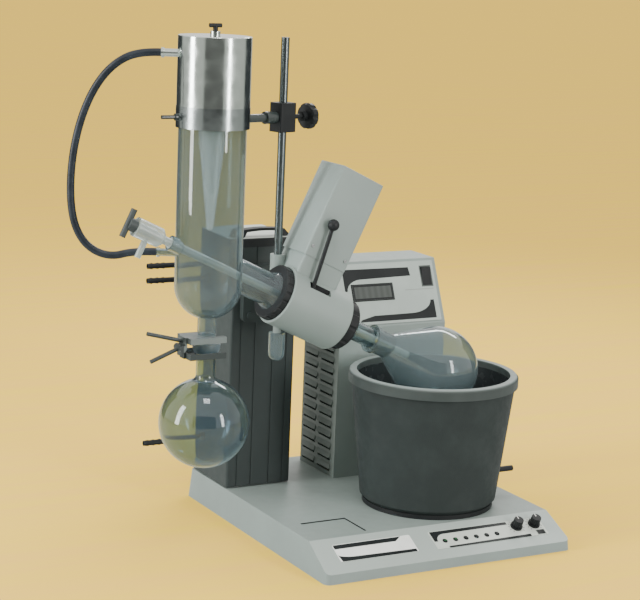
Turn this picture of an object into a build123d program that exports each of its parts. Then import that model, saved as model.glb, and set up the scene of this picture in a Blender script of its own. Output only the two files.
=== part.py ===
from build123d import *
import math
import os

# A bench rotary evaporator: a wedge-fronted base carries a heated bath, an electronics
# column and a telescoping lift tower. The tower holds the drive head, which turns the
# evaporating flask and carries the condenser, the receiving flask and the support rod.
# Millimetres, +Z up, origin at the middle of the base's rim on the bench,
# +X to the right seen from the front, +Y to the back.

# Shared values
cut_overrun = 20.0
seat_gap = 0.3
running_gap = 0.05
close_gap = 0.1

# Base
base_width = 424.0
base_depth = 470.0
deck_height = 46.0
base_lip_height = 14.0
panel_run = 63.0
base_draft_deg = 6.0
base_wall = 3.0
base_corner = 10.0
base_edge_round = 1.5
base_boss_radius = 7.0
base_boss_inset = 34.0
front_boss_inset = 92.0
bottom_plate_height = 4.0
bottom_plate_thickness = 2.0
foot_radius = 13.0
foot_bore_radius = 3.0
tray_width = 76.0
tray_length = 66.0
tray_depth = 1.5
tray_x = -142.0
tray_y = -126.0

# Fittings on the sloping front panel, placed along X and up the slope
plate_pocket_depth = 1.5
plate_thickness = 2.0
plate_corner = 2.0
nameplate_width = 130.0
nameplate_height = 34.0
nameplate_x = -112.0
nameplate_up = 40.0
strip_width = 198.0
strip_height = 36.0
strip_x = 84.0
strip_up = 39.0
lamp_size = 4.6
lamp_height = 1.4
lamp_count = 6
lamp_first_x = 4.5
lamp_pitch = 18.4
lamp_up = 35.5
knob_x = (136.0, 168.0)
knob_up = 43.6
knob_radius = 8.0
knob_height = 12.0
knob_skirt_radius = 9.5
knob_skirt_height = 2.5
knob_flute_radius = 1.6
knob_flute_count = 12
knob_lift = 0.6
knob_shaft_radius = 3.0
pot_radius = 9.0
pot_depth = 11.0
pot_bore_depth = 8.0

# Rocker switches: a drum segment that rocks in a frame
base_rocker_x = 172.0
base_rocker_up = 27.0
base_rocker_drum = 5.5
base_rocker_width = 6.0
base_frame_wall = 1.6
panel_rocker_x = 156.0
panel_rocker_up = 78.0
panel_rocker_drum = 15.0
panel_rocker_width = 17.0
panel_frame_wall = 2.2
rocker_sink_share = 0.2
rocker_dip_share = 0.05
rocker_hub = 1.5
rocker_pin_radius = 0.8
rocker_lean_deg = 8.0

# Electronics column
column_left = -19.0
column_width = 197.0
column_front = 95.0
column_depth = 116.0
column_height = 343.0
column_panel_base = 244.0
column_panel_run = 44.0
column_wall = 3.0
column_edge_round = 3.0
louvre_count = 12
louvre_length = 44.0
louvre_pitch = 17.6
louvre_slot = 4.5
louvre_hood = 3.0
louvre_hood_height = 8.0
louvre_middles_y = (130.0, 182.0)
louvre_first_height = 12.0
fascia_width = 184.0
fascia_height = 100.0
fascia_x = 79.5
fascia_up = 53.8
fascia_thickness = 1.5
display_width = 74.0
display_height = 25.0
display_x = 51.5
display_up = 56.0
display_thickness = 2.5

# Lift tower: a fixed mast inside a sleeve that slides up it
sleeve_width = 111.0
sleeve_depth = 125.0
sleeve_left = -206.0
sleeve_front = 103.0
sleeve_bottom = 48.0
sleeve_top = 427.0
sleeve_wall = 3.0
sleeve_corner = 4.0
groove_width = 3.0
groove_depth = 1.2
groove_shares = (-0.36, -0.14, 0.14, 0.36)
cap_height = 14.0
cap_spigot = 10.0
cap_edge_round = 3.0
handle_width = 92.0
handle_depth = 16.0
handle_thickness = 4.0
handle_gap = 10.0
handle_y = 118.0
handle_foot = 12.0
mast_width = 66.0
mast_depth = 76.0
mast_wall = 4.0
mast_top = 404.0
mast_corner = 3.0
mast_flange_width = 96.0
mast_flange_depth = 108.0
mast_flange_thickness = 5.0
collar_height = 24.0
lower_collar_bottom = 62.0
upper_collar_bottom = 376.0
strut_radius = 12.0
strut_bore = 9.0
strut_top = 345.0
strut_gland = 14.0
strut_rod_radius = 4.0
piston_height = 16.0
piston_bottom = 72.0
spigot_y = 190.0
spigot_heights = (107.0, 366.0, 389.0)
spigot_length = 104.0
spigot_radius = 4.2
spigot_bore = 2.4
spigot_collar_radius = 7.0
spigot_collar_length = 8.0
spigot_ring_count = 3
spigot_ring_height = 0.8
spigot_ring_length = 5.0

# Drive axis: through the head's left face, sloping down to the right
head_x = -216.4
head_y = -63.0
head_z = 388.0
drive_slope_deg = 25.5

# Drive head, along the axis from the head's left face
housing_length = 108.0
housing_radius = 45.0
housing_edge_round = 2.0
nut_pocket_radius = 41.5
nut_pocket_depth = 24.0
bearing_bore = 31.0
lever_slot_start = 26.0
lever_slot_length = 38.0
lever_slot_width = 8.0
lever_slot_floor = 20.0
lever_offset = 31.5
pivot_along = 73.0
pivot_boss_radius = 26.0
pivot_boss_back = 84.0
pivot_bore_front = -14.0
pivot_shaft_radius = 15.0
pivot_shoulder_radius = 21.0
bracket_width = 84.0
bracket_height = 88.0
bracket_thickness = 12.0
bracket_corner = 8.0
bracket_screw_radius = 5.0
bracket_screw_head = 3.0
bracket_screw_pitch_x = 62.0
bracket_screw_pitch_z = 66.0
gearcase_start = 4.0
gearcase_length = 73.0
gearcase_front = -84.0
gearcase_depth = 68.0
gearcase_bottom = 26.0
gearcase_top = 72.0
gearcase_corner = 4.0
cover_start = 1.5
cover_length = 75.0
cover_front = -85.0
cover_depth = 70.0
cover_height = 136.0
cover_seat = 3.0
cover_wall = 2.5
cover_corner = 3.0
rod_x = -200.0
rod_y = -30.0
rod_radius = 6.0
rod_bottom = 420.0
rod_top = 754.0
rod_socket_radius = 11.0
rod_socket_bottom = 410.0
rod_socket_top = 440.0

# Turning parts on the drive axis
shaft_radius = 20.0
shaft_start = 29.0
shaft_end = 130.0
bush_length = 16.0
left_bush_start = 30.0
seal_bore = 15.3
pulley_start = 59.0
pulley_width = 12.0
driven_pulley_radius = 23.0
pulley_flange_height = 2.0
pulley_flange_width = 1.5
belt_width = 8.0
belt_thickness = 2.0
belt_clearance = 0.35
belt_room = 3.0
motor_y = -50.0
motor_up = 142.0
motor_radius = 24.0
motor_start = 8.0
motor_length = 45.0
motor_plate_thickness = 3.5
motor_plate_width = 60.0
motor_plate_margin = 28.0
motor_shaft_radius = 3.0
motor_pulley_radius = 8.0
clip_ring_start = 110.0
clip_ring_length = 19.0
clip_ring_radius = 38.0
clip_ring_lobes = 10
clip_ring_lobe_radius = 5.0
duct_radius = 15.0
duct_wall = 2.4
duct_start = 28.4
duct_end = 214.0
duct_cone_start = 182.0

# Evaporating flask, one litre, pear shaped
flask_radius = 65.5
glass_wall = 2.4
flask_along = 308.0
flask_neck_radius = 19.0
flask_shoulder_deg = 30.0
flask_mouth = 130.0
flask_bead_radius = 21.5
flask_bead_length = 7.0

# Condenser, on a vertical axis in the plane of the drive axis
condenser_x = -327.0
jacket_radius = 48.0
jacket_wall = 2.5
jacket_bowl_z = 406.0
jacket_top = 664.0
arm_radius = 24.0
arm_wall = 2.5
arm_flange_radius = 37.0
arm_flange_wall = 5.0
arm_flare_start = -22.0
arm_flare_end = 8.0
arm_flange_end = 24.0
feed_sleeve_radius = 11.0
feed_sleeve_end = -190.0
outlet_radius = 13.0
outlet_wall = 2.4
ball_radius = 17.5
ball_z = 320.0
ball_half_height = 13.0
port_turn_deg = 150.0
port_radius = 5.5
port_bore = 3.4
lower_port_z = 451.0
upper_port_z = 731.0
port_reach = 74.0
port_bead_radius = 7.0
port_bead_length = 4.0
gasket_inner = 38.0
gasket_height = 3.0
finger_plate_height = 3.0
finger_top_radius = 24.0
finger_tip_radius = 5.0
finger_tip_z = 490.0
finger_wall = 2.0
reservoir_outer = 51.5
reservoir_wall = 1.5
reservoir_bottom = 660.0
reservoir_top = 757.0
reservoir_edge_round = 1.2
vent_boss_radius = 7.0
vent_boss_height = 6.0
vent_stem_radius = 3.5
vent_stem_depth = 9.0
vent_key_length = 18.0
vent_key_radius = 3.0
vent_key_neck = 8.0

# Union nut that holds the condenser's flange in the head
union_start = -11.0
union_end = 18.0
union_radius = 41.0
union_chamfer = 2.0
union_flute_count = 20
union_flute_radius = 2.6
union_flute_depth = 1.3
union_flute_end = -0.5

# Condenser clamp on the support rod
ring_bottom = 630.0
ring_outer = 52.0
arm_z = 640.0
arm_thin_radius = 6.0
arm_thick_radius = 9.0
arm_thin_end = 96.0
boss_length = 30.0
boss_width = 26.0
boss_height = 42.0
boss_corner = 3.0
knob_stem_radius = 3.5
clamp_stem_end = 44.0
clamp_collar_radius = 7.0
clamp_collar_length = 8.0
clamp_disc_radius = 19.0
clamp_disc_length = 11.0
clamp_disc_lobes = 8
clamp_disc_lobe_radius = 4.5
ring_screw_radius = 2.8
ring_screw_length = 26.0
ring_screw_head_radius = 5.0
ring_screw_head_length = 6.0

# Feed tube with its key, and the drip vial
feed_tube_radius = 6.0
feed_tube_bore = 4.2
feed_tube_end = 250.0
feed_body_radius = 14.0
feed_body_start = -248.0
feed_body_end = -200.0
feed_body_taper = 8.0
feed_joint_length = 18.0
feed_key_bore = 6.0
feed_key_bore_depth = 32.0
feed_spout_along = -226.0
feed_spout_radius = 4.5
feed_spout_bore = 2.5
feed_spout_length = 38.0
key_bar_along = -260.0
key_bar_length = 42.0
key_bar_radius = 4.5
vial_along = 24.0
vial_radius = 12.0
vial_height = 42.0
vial_wall = 1.5
vial_neck_radius = 6.0
vial_neck_top = 350.0
vial_top = 330.5

# Head lever
lever_pivot_along = 33.0
lever_pivot_up = 27.0
lever_hub_radius = 4.0
lever_hub_width = 7.0
lever_stem_radius = 3.0
lever_length = 96.8
lever_lean_deg = -7.4
lever_ball_radius = 8.6
lever_pin_radius = 1.5
lever_pin_length = 6.0

# Receiving flask and its pinch clip
receiver_z = 205.7
receiver_neck_radius = 14.0
receiver_shoulder_round = 9.0
cup_wall = 2.5
cup_top = 323.0
clip_pivot_x = -368.0
clip_pivot_z = 318.5
clip_plate_thickness = 2.5
clip_plate_left = -362.0
clip_plate_right = -306.0
clip_plate_half_width = 23.0
clip_skirt_height = 6.0
clip_upper_z = 332.0
clip_lower_z = 303.5
clip_slot_clearance = 1.6
clip_web_thickness = 3.0
clip_knuckle_radius = 5.0
clip_knuckle_half = 7.0
clip_ear_thickness = 4.0
clip_ear_gap = 0.5
clip_pin_radius = 2.0
clip_handle_radius = 3.0
clip_upper_handle = (-419.0, 342.0)
clip_lower_handle = (-413.0, 301.0)
clip_handle_start = 4.0
clip_handle_root = (-363.5, 328.0)

# Heated bath
bath_x = 59.0
bath_y = -63.0
bath_foot_inner = 92.0
bath_foot_outer = 101.0
bath_foot_height = 7.0
pot_bottom_radius = 105.0
pot_top_radius = 126.0
pot_top = 240.0
pot_wall = 2.5
pot_bottom_round = 6.0
liner_bottom = 66.0
liner_bottom_radius = 98.0
liner_top_radius = 119.0
liner_wall = 1.5
rim_outer = 130.0
rim_inner = 117.5
rim_bottom = 236.0
rim_top = 252.0
rim_round = 3.0
heater_ring_radius = 70.0
heater_rod_radius = 4.0
drain_z = 82.0
drain_length = 58.5
drain_radius = 4.5
drain_bore = 2.6
drain_collar_radius = 8.0
drain_collar_length = 5.0

# Hose from the condenser's cap to its lower port: distance from the condenser's axis and height
hose_radius = 5.5
hose_route = ((74.0, 731.0), (106.0, 731.0), (140.0, 713.0), (166.0, 680.0), (185.0, 634.0),
              (196.0, 580.0), (198.0, 524.0), (191.0, 482.0), (172.0, 453.0), (140.0, 440.5),
              (105.0, 451.0), (74.0, 451.0))

# Worked-out places
panel_angle_deg = math.degrees(math.atan2(deck_height - base_lip_height, panel_run))
column_panel_rise = column_height - column_panel_base
column_top = deck_height + column_height
sleeve_middle_x = sleeve_left + sleeve_width / 2
sleeve_middle_y = sleeve_front + sleeve_depth / 2
cap_top = sleeve_top + cap_height
slope = math.radians(drive_slope_deg)
head_frame = Pos(head_x, head_y, head_z) * Rot(0, drive_slope_deg, 0)
pivot_x = head_x + pivot_along * math.cos(slope)
pivot_z = head_z - pivot_along * math.sin(slope)
condenser_along = (condenser_x - head_x) / math.cos(slope)
port_turn = math.radians(port_turn_deg)
front_panel = Plane(origin=(0, -base_depth / 2, base_lip_height), x_dir=(1, 0, 0),
                    z_dir=(0, base_lip_height - deck_height, panel_run))
column_panel = Plane(origin=(0, column_front, deck_height + column_panel_base), x_dir=(1, 0, 0),
                     z_dir=(0, -column_panel_rise, column_panel_run))
knob_names = ("heat_knob", "speed_knob")


def turned_z(points):
    """Revolve an outline of (radius, height) points about the Z axis."""
    outline = make_face(Plane.XZ * Polyline(*points, close=True))
    return revolve(outline, axis=Axis.Z)


def turned_x(points):
    """Revolve an outline of (distance along, radius) points about the X axis."""
    outline = make_face(Plane.XZ * Polyline(*points, close=True))
    return revolve(outline, axis=Axis.X)


def tube_z(outer, bottom, top, inner=0.0):
    solid = Pos(0, 0, (bottom + top) / 2) * Cylinder(outer, top - bottom)
    if inner > 0:
        solid -= Pos(0, 0, (bottom + top) / 2) * Cylinder(inner, top - bottom + cut_overrun)
    return solid


def tube_x(outer, start, end, inner=0.0):
    middle = (start + end) / 2
    solid = Pos(middle, 0, 0) * Rot(0, 90, 0) * Cylinder(outer, end - start)
    if inner > 0:
        solid -= Pos(middle, 0, 0) * Rot(0, 90, 0) * Cylinder(inner, end - start + cut_overrun)
    return solid


def rod_between(start, end, radius):
    """A round bar from one point to another."""
    run = Vector(*end) - Vector(*start)
    plane = Plane(origin=start, z_dir=run.normalized())
    return extrude(plane * Circle(radius), amount=run.length)


def block(low, high):
    size = [b - a for a, b in zip(low, high)]
    middle = [(a + b) / 2 for a, b in zip(low, high)]
    return Pos(*middle) * Box(*size)


# Base


def wedge_cutter(drop):
    """The prism above the sloping front panel, moved in by drop to leave a wall."""
    rise = (deck_height - base_lip_height) / panel_run
    angle = math.radians(panel_angle_deg)
    near = -base_depth / 2 - cut_overrun
    far = -base_depth / 2 + panel_run + cut_overrun
    low = base_lip_height - cut_overrun * rise
    high = deck_height + cut_overrun * rise
    prism = extrude(Plane.YZ * make_face(Polyline((near, low), (far, high), (near, high), close=True)),
                    amount=base_width, both=True)
    return Pos(0, drop * math.sin(angle), -drop * math.cos(angle)) * prism


def boss_places():
    side = base_width / 2 - base_boss_inset
    back = base_depth / 2 - base_boss_inset
    front = base_depth / 2 - front_boss_inset
    return ((-side, -front), (side, -front), (-side, back), (side, back))


def make_base_shell():
    outside = extrude(RectangleRounded(base_width, base_depth, base_corner),
                      amount=deck_height, taper=base_draft_deg)
    outside -= wedge_cutter(0)
    top_edges = outside.faces().sort_by(Axis.Z)[-1].edges()
    outside = fillet(top_edges, base_edge_round)
    inside = extrude(RectangleRounded(base_width - 2 * base_wall, base_depth - 2 * base_wall,
                                      base_corner - base_wall),
                     amount=deck_height - base_wall, taper=base_draft_deg)
    inside -= wedge_cutter(base_wall)
    shell = outside - inside
    boss_bottom = bottom_plate_height + bottom_plate_thickness
    for x, y in boss_places():
        shell += Pos(x, y, 0) * tube_z(base_boss_radius, boss_bottom, deck_height - base_wall / 2)
    shell -= block((tray_x - tray_width / 2, tray_y - tray_length / 2, deck_height - tray_depth),
                   (tray_x + tray_width / 2, tray_y + tray_length / 2, deck_height + cut_overrun))
    for width, height, x, up in ((nameplate_width, nameplate_height, nameplate_x, nameplate_up),
                                 (strip_width, strip_height, strip_x, strip_up)):
        pocket = RectangleRounded(width + 2 * close_gap, height + 2 * close_gap, plate_corner)
        shell -= extrude(front_panel * Pos(x, up, -plate_pocket_depth) * pocket, amount=cut_overrun)
    for x in knob_x:
        hole = front_panel * Pos(x, knob_up, -cut_overrun) * Circle(knob_shaft_radius + seat_gap)
        shell -= extrude(hole, amount=2 * cut_overrun)
    frame_room = rocker_opening(base_rocker_drum, base_rocker_width, base_frame_wall)
    shell -= extrude(front_panel * Pos(base_rocker_x, base_rocker_up, -cut_overrun) * frame_room,
                     amount=2 * cut_overrun)
    return shell


def make_bottom_plate():
    margin = base_wall + seat_gap + bottom_plate_height * math.tan(math.radians(base_draft_deg))
    outline = RectangleRounded(base_width - 2 * margin, base_depth - 2 * margin, base_corner - base_wall)
    return extrude(Pos(0, 0, bottom_plate_height) * outline, amount=bottom_plate_thickness,
                   taper=base_draft_deg)


def make_feet():
    feet = Part()
    for x, y in boss_places():
        feet += Pos(x, y, 0) * tube_z(foot_radius, 0, bottom_plate_height, foot_bore_radius)
    return feet


def panel_plate(width, height, x, up):
    outline = RectangleRounded(width, height, plate_corner)
    return extrude(front_panel * Pos(x, up, -plate_pocket_depth) * outline, amount=plate_thickness)


def make_control_strip():
    strip = panel_plate(strip_width, strip_height, strip_x, strip_up)
    for x in knob_x:
        hole = front_panel * Pos(x, knob_up, -cut_overrun) * Circle(knob_shaft_radius + seat_gap)
        strip -= extrude(hole, amount=2 * cut_overrun)
    room = rocker_opening(base_rocker_drum, base_rocker_width, base_frame_wall)
    strip -= extrude(front_panel * Pos(base_rocker_x, base_rocker_up, -cut_overrun) * room,
                     amount=2 * cut_overrun)
    return strip


def make_indicator_lamps():
    lamps = Part()
    plate_top = plate_thickness - plate_pocket_depth
    for i in range(lamp_count):
        x = lamp_first_x + i * lamp_pitch
        lamps += extrude(front_panel * Pos(x, lamp_up, plate_top) * Rectangle(lamp_size, lamp_size),
                         amount=lamp_height)
    return lamps


def make_knob(x):
    """A fluted control knob on its shaft, turning about the panel's normal."""
    foot = plate_thickness - plate_pocket_depth + knob_lift
    crown = foot + knob_skirt_height + knob_height
    profile = ((0, foot), (knob_skirt_radius, foot), (knob_skirt_radius, foot + knob_skirt_height),
               (knob_radius, foot + knob_skirt_height), (knob_radius - knob_lift, crown), (0, crown))
    knob = turned_z(profile)
    for i in range(knob_flute_count):
        turn = math.radians(i * 360 / knob_flute_count)
        reach = knob_radius + knob_flute_radius / 2
        knob -= Pos(reach * math.cos(turn), reach * math.sin(turn), 0) * tube_z(
            knob_flute_radius, foot + knob_skirt_height, crown + knob_lift)
    knob += tube_z(knob_shaft_radius, -base_wall - pot_bore_depth + seat_gap, foot + knob_lift)
    return front_panel.location * Pos(x, knob_up, 0) * knob


def make_control_pots():
    """The two regulators behind the front panel, each with a bore for its knob's shaft."""
    pots = Part()
    for x in knob_x:
        pot = tube_z(pot_radius, -base_wall - pot_depth, -base_wall)
        pot -= tube_z(knob_shaft_radius + running_gap, -base_wall - pot_bore_depth, cut_overrun)
        pots += front_panel.location * Pos(x, knob_up, 0) * pot
    return pots


def rocker_opening(drum, width, wall):
    """Outline of a rocker's frame, which the panel is cut for."""
    return Rectangle(2 * (drum + seat_gap + wall + close_gap), width + 2 * (seat_gap + wall + close_gap))


def bar_y(radius, length):
    return Rot(90, 0, 0) * Cylinder(radius, length)


def rocker_pair(drum, width, wall):
    """A rocker and its frame about the origin, rocking about Y, with the frame's top at zero."""
    dip = drum * rocker_dip_share
    rise = (drum + cut_overrun) * math.tan(math.radians(rocker_lean_deg))
    reach = drum + cut_overrun
    above = make_face(Plane.XZ * Polyline((0, drum * rocker_sink_share + dip), (reach, rise + dip),
                                          (reach, reach), (-reach, reach), (-reach, rise + dip), close=True))
    rocker = bar_y(drum, width)
    rocker -= block((-reach, -width, -reach), (reach, width, -rocker_hub))
    rocker -= extrude(above, amount=width, both=True)
    rocker += bar_y(rocker_pin_radius, width + 2 * seat_gap + wall)
    rocker = Rot(0, -rocker_lean_deg, 0) * rocker
    room_depth = rocker_hub + drum * math.sin(math.radians(2 * rocker_lean_deg))
    outside = (drum + seat_gap + wall, width / 2 + seat_gap + wall)
    inside = (drum + seat_gap, width / 2 + seat_gap)
    sink = drum * rocker_sink_share
    frame = block((-outside[0], -outside[1], -room_depth - wall), (outside[0], outside[1], sink))
    frame -= block((-inside[0], -inside[1], -room_depth), (inside[0], inside[1], reach))
    frame -= bar_y(rocker_pin_radius + running_gap, width + 2 * seat_gap + 2 * wall + cut_overrun)
    lower = Pos(0, 0, -sink)
    return lower * rocker, lower * frame


def base_rocker_parts():
    rocker, frame = rocker_pair(base_rocker_drum, base_rocker_width, base_frame_wall)
    place = front_panel.location * Pos(base_rocker_x, base_rocker_up, plate_thickness - plate_pocket_depth)
    return place * rocker, place * frame


# Electronics column


def column_outline(bottom):
    """The column's side outline as a face in the YZ plane."""
    return make_face(Polyline(
        (column_front, bottom), (column_front, deck_height + column_panel_base),
        (column_front + column_panel_run, column_top), (column_front + column_depth, column_top),
        (column_front + column_depth, bottom), close=True))


def louvre_hood_solid(middle, low):
    """A pressed hood on the column's left side, open at its foot."""
    root = column_left + column_wall / 2
    profile = make_face(Polyline((root, low), (column_left - louvre_hood, low),
                                 (column_left, low + louvre_hood_height), (root, low + louvre_hood_height),
                                 close=True))
    return extrude(Plane.XZ.offset(-middle) * profile, amount=louvre_length / 2, both=True)


def louvre_slot_solid(middle, low):
    half = louvre_length / 2 - column_wall / 2
    return block((column_left - louvre_hood + column_wall / 2, middle - half, low - louvre_slot),
                 (column_left + column_wall + cut_overrun, middle + half, low + louvre_hood_height / 3))


def make_column_case():
    outside = extrude(Plane.YZ.offset(column_left) * column_outline(deck_height), amount=column_width)
    outside = fillet(outside.edges().filter_by(Axis.Z).group_by(Axis.Y)[-1], column_edge_round)
    hollow = offset(column_outline(deck_height - column_wall), amount=-column_wall, kind=Kind.INTERSECTION)
    inside = extrude(Plane.YZ.offset(column_left + column_wall) * hollow,
                     amount=column_width - 2 * column_wall)
    case = outside - inside
    for middle in louvre_middles_y:
        for i in range(louvre_count):
            low = deck_height + louvre_first_height + i * louvre_pitch
            case = case + louvre_hood_solid(middle, low) - louvre_slot_solid(middle, low)
    room = Rot(0, 0, 90) * rocker_opening(panel_rocker_drum, panel_rocker_width, panel_frame_wall)
    case -= extrude(column_panel * Pos(panel_rocker_x, panel_rocker_up, -cut_overrun) * room,
                    amount=2 * cut_overrun)
    return case


def make_fascia():
    fascia = extrude(column_panel * Pos(fascia_x, fascia_up, 0)
                     * RectangleRounded(fascia_width, fascia_height, plate_corner), amount=fascia_thickness)
    room = Rot(0, 0, 90) * rocker_opening(panel_rocker_drum, panel_rocker_width, panel_frame_wall)
    fascia -= extrude(column_panel * Pos(panel_rocker_x, panel_rocker_up, -cut_overrun) * room,
                      amount=2 * cut_overrun)
    window = Rectangle(display_width + 2 * close_gap, display_height + 2 * close_gap)
    fascia -= extrude(column_panel * Pos(display_x, display_up, -cut_overrun) * window,
                      amount=2 * cut_overrun)
    return fascia


def make_display():
    return extrude(column_panel * Pos(display_x, display_up, 0) * Rectangle(display_width, display_height),
                   amount=display_thickness)


def panel_rocker_parts():
    rocker, frame = rocker_pair(panel_rocker_drum, panel_rocker_width, panel_frame_wall)
    place = column_panel.location * Pos(panel_rocker_x, panel_rocker_up, fascia_thickness) * Rot(0, 0, 90)
    return place * rocker, place * frame


# Lift tower


def tower_outline(width, depth, corner):
    return Pos(sleeve_middle_x, sleeve_middle_y, 0) * RectangleRounded(width, depth, corner)


def hollow_post(width, depth, corner, wall, bottom, top):
    outer = extrude(Pos(0, 0, bottom) * tower_outline(width, depth, corner), amount=top - bottom)
    inner = extrude(Pos(0, 0, bottom - cut_overrun)
                    * tower_outline(width - 2 * wall, depth - 2 * wall, max(corner - wall, close_gap)),
                    amount=top - bottom + 2 * cut_overrun)
    return outer - inner


def make_tower_sleeve():
    sleeve = hollow_post(sleeve_width, sleeve_depth, sleeve_corner, sleeve_wall, sleeve_bottom, sleeve_top)
    sleeve += lower_collar()
    for share in groove_shares:
        x = sleeve_middle_x + share * sleeve_width
        sleeve -= block((x - groove_width / 2, sleeve_front - cut_overrun, sleeve_bottom - cut_overrun),
                        (x + groove_width / 2, sleeve_front + groove_depth, sleeve_top + cut_overrun))
    for height in spigot_heights:
        sleeve -= Pos(sleeve_left, spigot_y, height) * tube_x(spigot_radius + close_gap,
                                                              -cut_overrun, sleeve_wall + close_gap)
    return sleeve


def make_tower_cap():
    cap = extrude(Pos(0, 0, sleeve_top) * tower_outline(sleeve_width, sleeve_depth, sleeve_corner),
                  amount=cap_height)
    cap = fillet(cap.faces().sort_by(Axis.Z)[-1].edges(), cap_edge_round)
    inset = 2 * sleeve_wall + 2 * close_gap
    spigot = hollow_post(sleeve_width - inset, sleeve_depth - inset, sleeve_corner - sleeve_wall,
                         sleeve_wall, sleeve_top - cap_spigot, sleeve_top)
    return cap + spigot


def make_tower_handle():
    """A low strap over the cap's front edge, with a gap for the fingers beneath."""
    half = handle_width / 2
    crown = cap_top + handle_gap + handle_thickness
    knee = half - handle_foot
    arch = make_face([
        Line((-half, cap_top), (half, cap_top)),
        Line((half, cap_top), (knee, crown - handle_thickness / 2)),
        ThreePointArc((knee, crown - handle_thickness / 2), (0, crown),
                      (-knee, crown - handle_thickness / 2)),
        Line((-knee, crown - handle_thickness / 2), (-half, cap_top))])
    inner_half = half - handle_foot
    inner_knee = knee - handle_thickness
    under = crown - handle_thickness
    gap = make_face([
        Line((-inner_half, cap_top), (inner_half, cap_top)),
        Line((inner_half, cap_top), (inner_knee, under - handle_thickness / 2)),
        ThreePointArc((inner_knee, under - handle_thickness / 2), (0, under),
                      (-inner_knee, under - handle_thickness / 2)),
        Line((-inner_knee, under - handle_thickness / 2), (-inner_half, cap_top))])
    strap = extrude(Plane.XZ * (arch - gap), amount=handle_depth / 2, both=True)
    return Pos(sleeve_middle_x, handle_y, 0) * strap


def make_mast():
    mast = hollow_post(mast_width, mast_depth, mast_corner, mast_wall, deck_height, mast_top)
    mast += extrude(Pos(0, 0, deck_height) * tower_outline(mast_flange_width, mast_flange_depth, mast_corner),
                    amount=mast_flange_thickness)
    return mast + upper_collar()


def lower_collar():
    """Slide collar fixed in the sleeve's foot, running on the mast."""
    inside_width = sleeve_width - sleeve_wall
    inside_depth = sleeve_depth - sleeve_wall
    collar = extrude(Pos(0, 0, lower_collar_bottom) * tower_outline(inside_width, inside_depth, sleeve_wall),
                     amount=collar_height)
    collar -= extrude(Pos(0, 0, lower_collar_bottom - cut_overrun)
                      * tower_outline(mast_width + 2 * seat_gap, mast_depth + 2 * seat_gap,
                                      mast_corner + seat_gap),
                      amount=collar_height + 2 * cut_overrun)
    return collar


def upper_collar():
    """Slide collar fixed round the mast's head, running in the sleeve."""
    inside_width = sleeve_width - 2 * sleeve_wall - 2 * seat_gap
    inside_depth = sleeve_depth - 2 * sleeve_wall - 2 * seat_gap
    collar = extrude(Pos(0, 0, upper_collar_bottom) * tower_outline(inside_width, inside_depth, close_gap),
                     amount=collar_height)
    collar -= extrude(Pos(0, 0, upper_collar_bottom - cut_overrun)
                      * tower_outline(mast_width - mast_wall, mast_depth - mast_wall, mast_corner),
                      amount=collar_height + 2 * cut_overrun)
    return collar


def make_strut_cylinder():
    floor = deck_height + mast_flange_thickness
    cylinder = tube_z(strut_radius, floor, strut_top)
    cylinder -= tube_z(strut_bore, floor + strut_gland / 2, strut_top - strut_gland)
    cylinder -= tube_z(strut_rod_radius + running_gap, strut_top - 2 * strut_gland, strut_top + cut_overrun)
    return Pos(sleeve_middle_x, sleeve_middle_y, 0) * cylinder


def make_strut_rod():
    rod = tube_z(strut_rod_radius, piston_bottom, sleeve_top)
    rod += tube_z(strut_bore - running_gap, piston_bottom, piston_bottom + piston_height)
    return Pos(sleeve_middle_x, sleeve_middle_y, 0) * rod


def make_hose_spigots():
    """Three barbed connectors on the tower's left side, with their collars on the sleeve."""
    spigots = Part()
    for height in spigot_heights:
        spigot = tube_x(spigot_radius, -spigot_length, sleeve_wall)
        spigot += tube_x(spigot_collar_radius, -spigot_collar_length, 0)
        for i in range(spigot_ring_count):
            start = -spigot_length + spigot_ring_length / 2 + i * 2 * spigot_ring_length
            spigot += turned_x(((start, 0), (start, spigot_radius), (start + spigot_ring_length,
                               spigot_radius + spigot_ring_height), (start + spigot_ring_length, 0)))
        spigot -= tube_x(spigot_bore, -spigot_length - cut_overrun, sleeve_wall + cut_overrun)
        spigots += Pos(sleeve_left, spigot_y, height) * spigot
    return spigots


# Drive head


def cross_bar(outer, start, end, along=0.0, up=0.0):
    """A bar along Y in the head's frame, at a distance along the drive axis."""
    return Pos(along, (start + end) / 2, up) * Rot(90, 0, 0) * Cylinder(outer, end - start)


def belt_outline(grow):
    """The loop that a belt draws round the two pulleys, as a face in the head's YZ plane."""
    big = Circle(driven_pulley_radius + grow)
    small = Pos(motor_y - head_y, motor_up, 0) * Circle(motor_pulley_radius + grow)
    return make_hull(big.edges() + small.edges())


def make_head_bracket():
    """Plate on the sleeve's front with the shaft that the head tilts on."""
    plate = extrude(Plane(origin=(pivot_x, sleeve_front, pivot_z), x_dir=(1, 0, 0), z_dir=(0, -1, 0))
                    * RectangleRounded(bracket_width, bracket_height, bracket_corner),
                    amount=bracket_thickness)
    face = sleeve_front - bracket_thickness
    plate += Pos(pivot_x, 0, pivot_z) * cross_bar(pivot_shoulder_radius, pivot_boss_back + seat_gap, face)
    plate += Pos(pivot_x, 0, pivot_z) * cross_bar(pivot_shaft_radius, pivot_bore_front + seat_gap, face)
    for side in (-1, 1):
        for level in (-1, 1):
            plate += Pos(pivot_x + side * bracket_screw_pitch_x / 2, 0,
                         pivot_z + level * bracket_screw_pitch_z / 2) * cross_bar(
                bracket_screw_radius, face - bracket_screw_head, face)
    return plate


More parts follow.
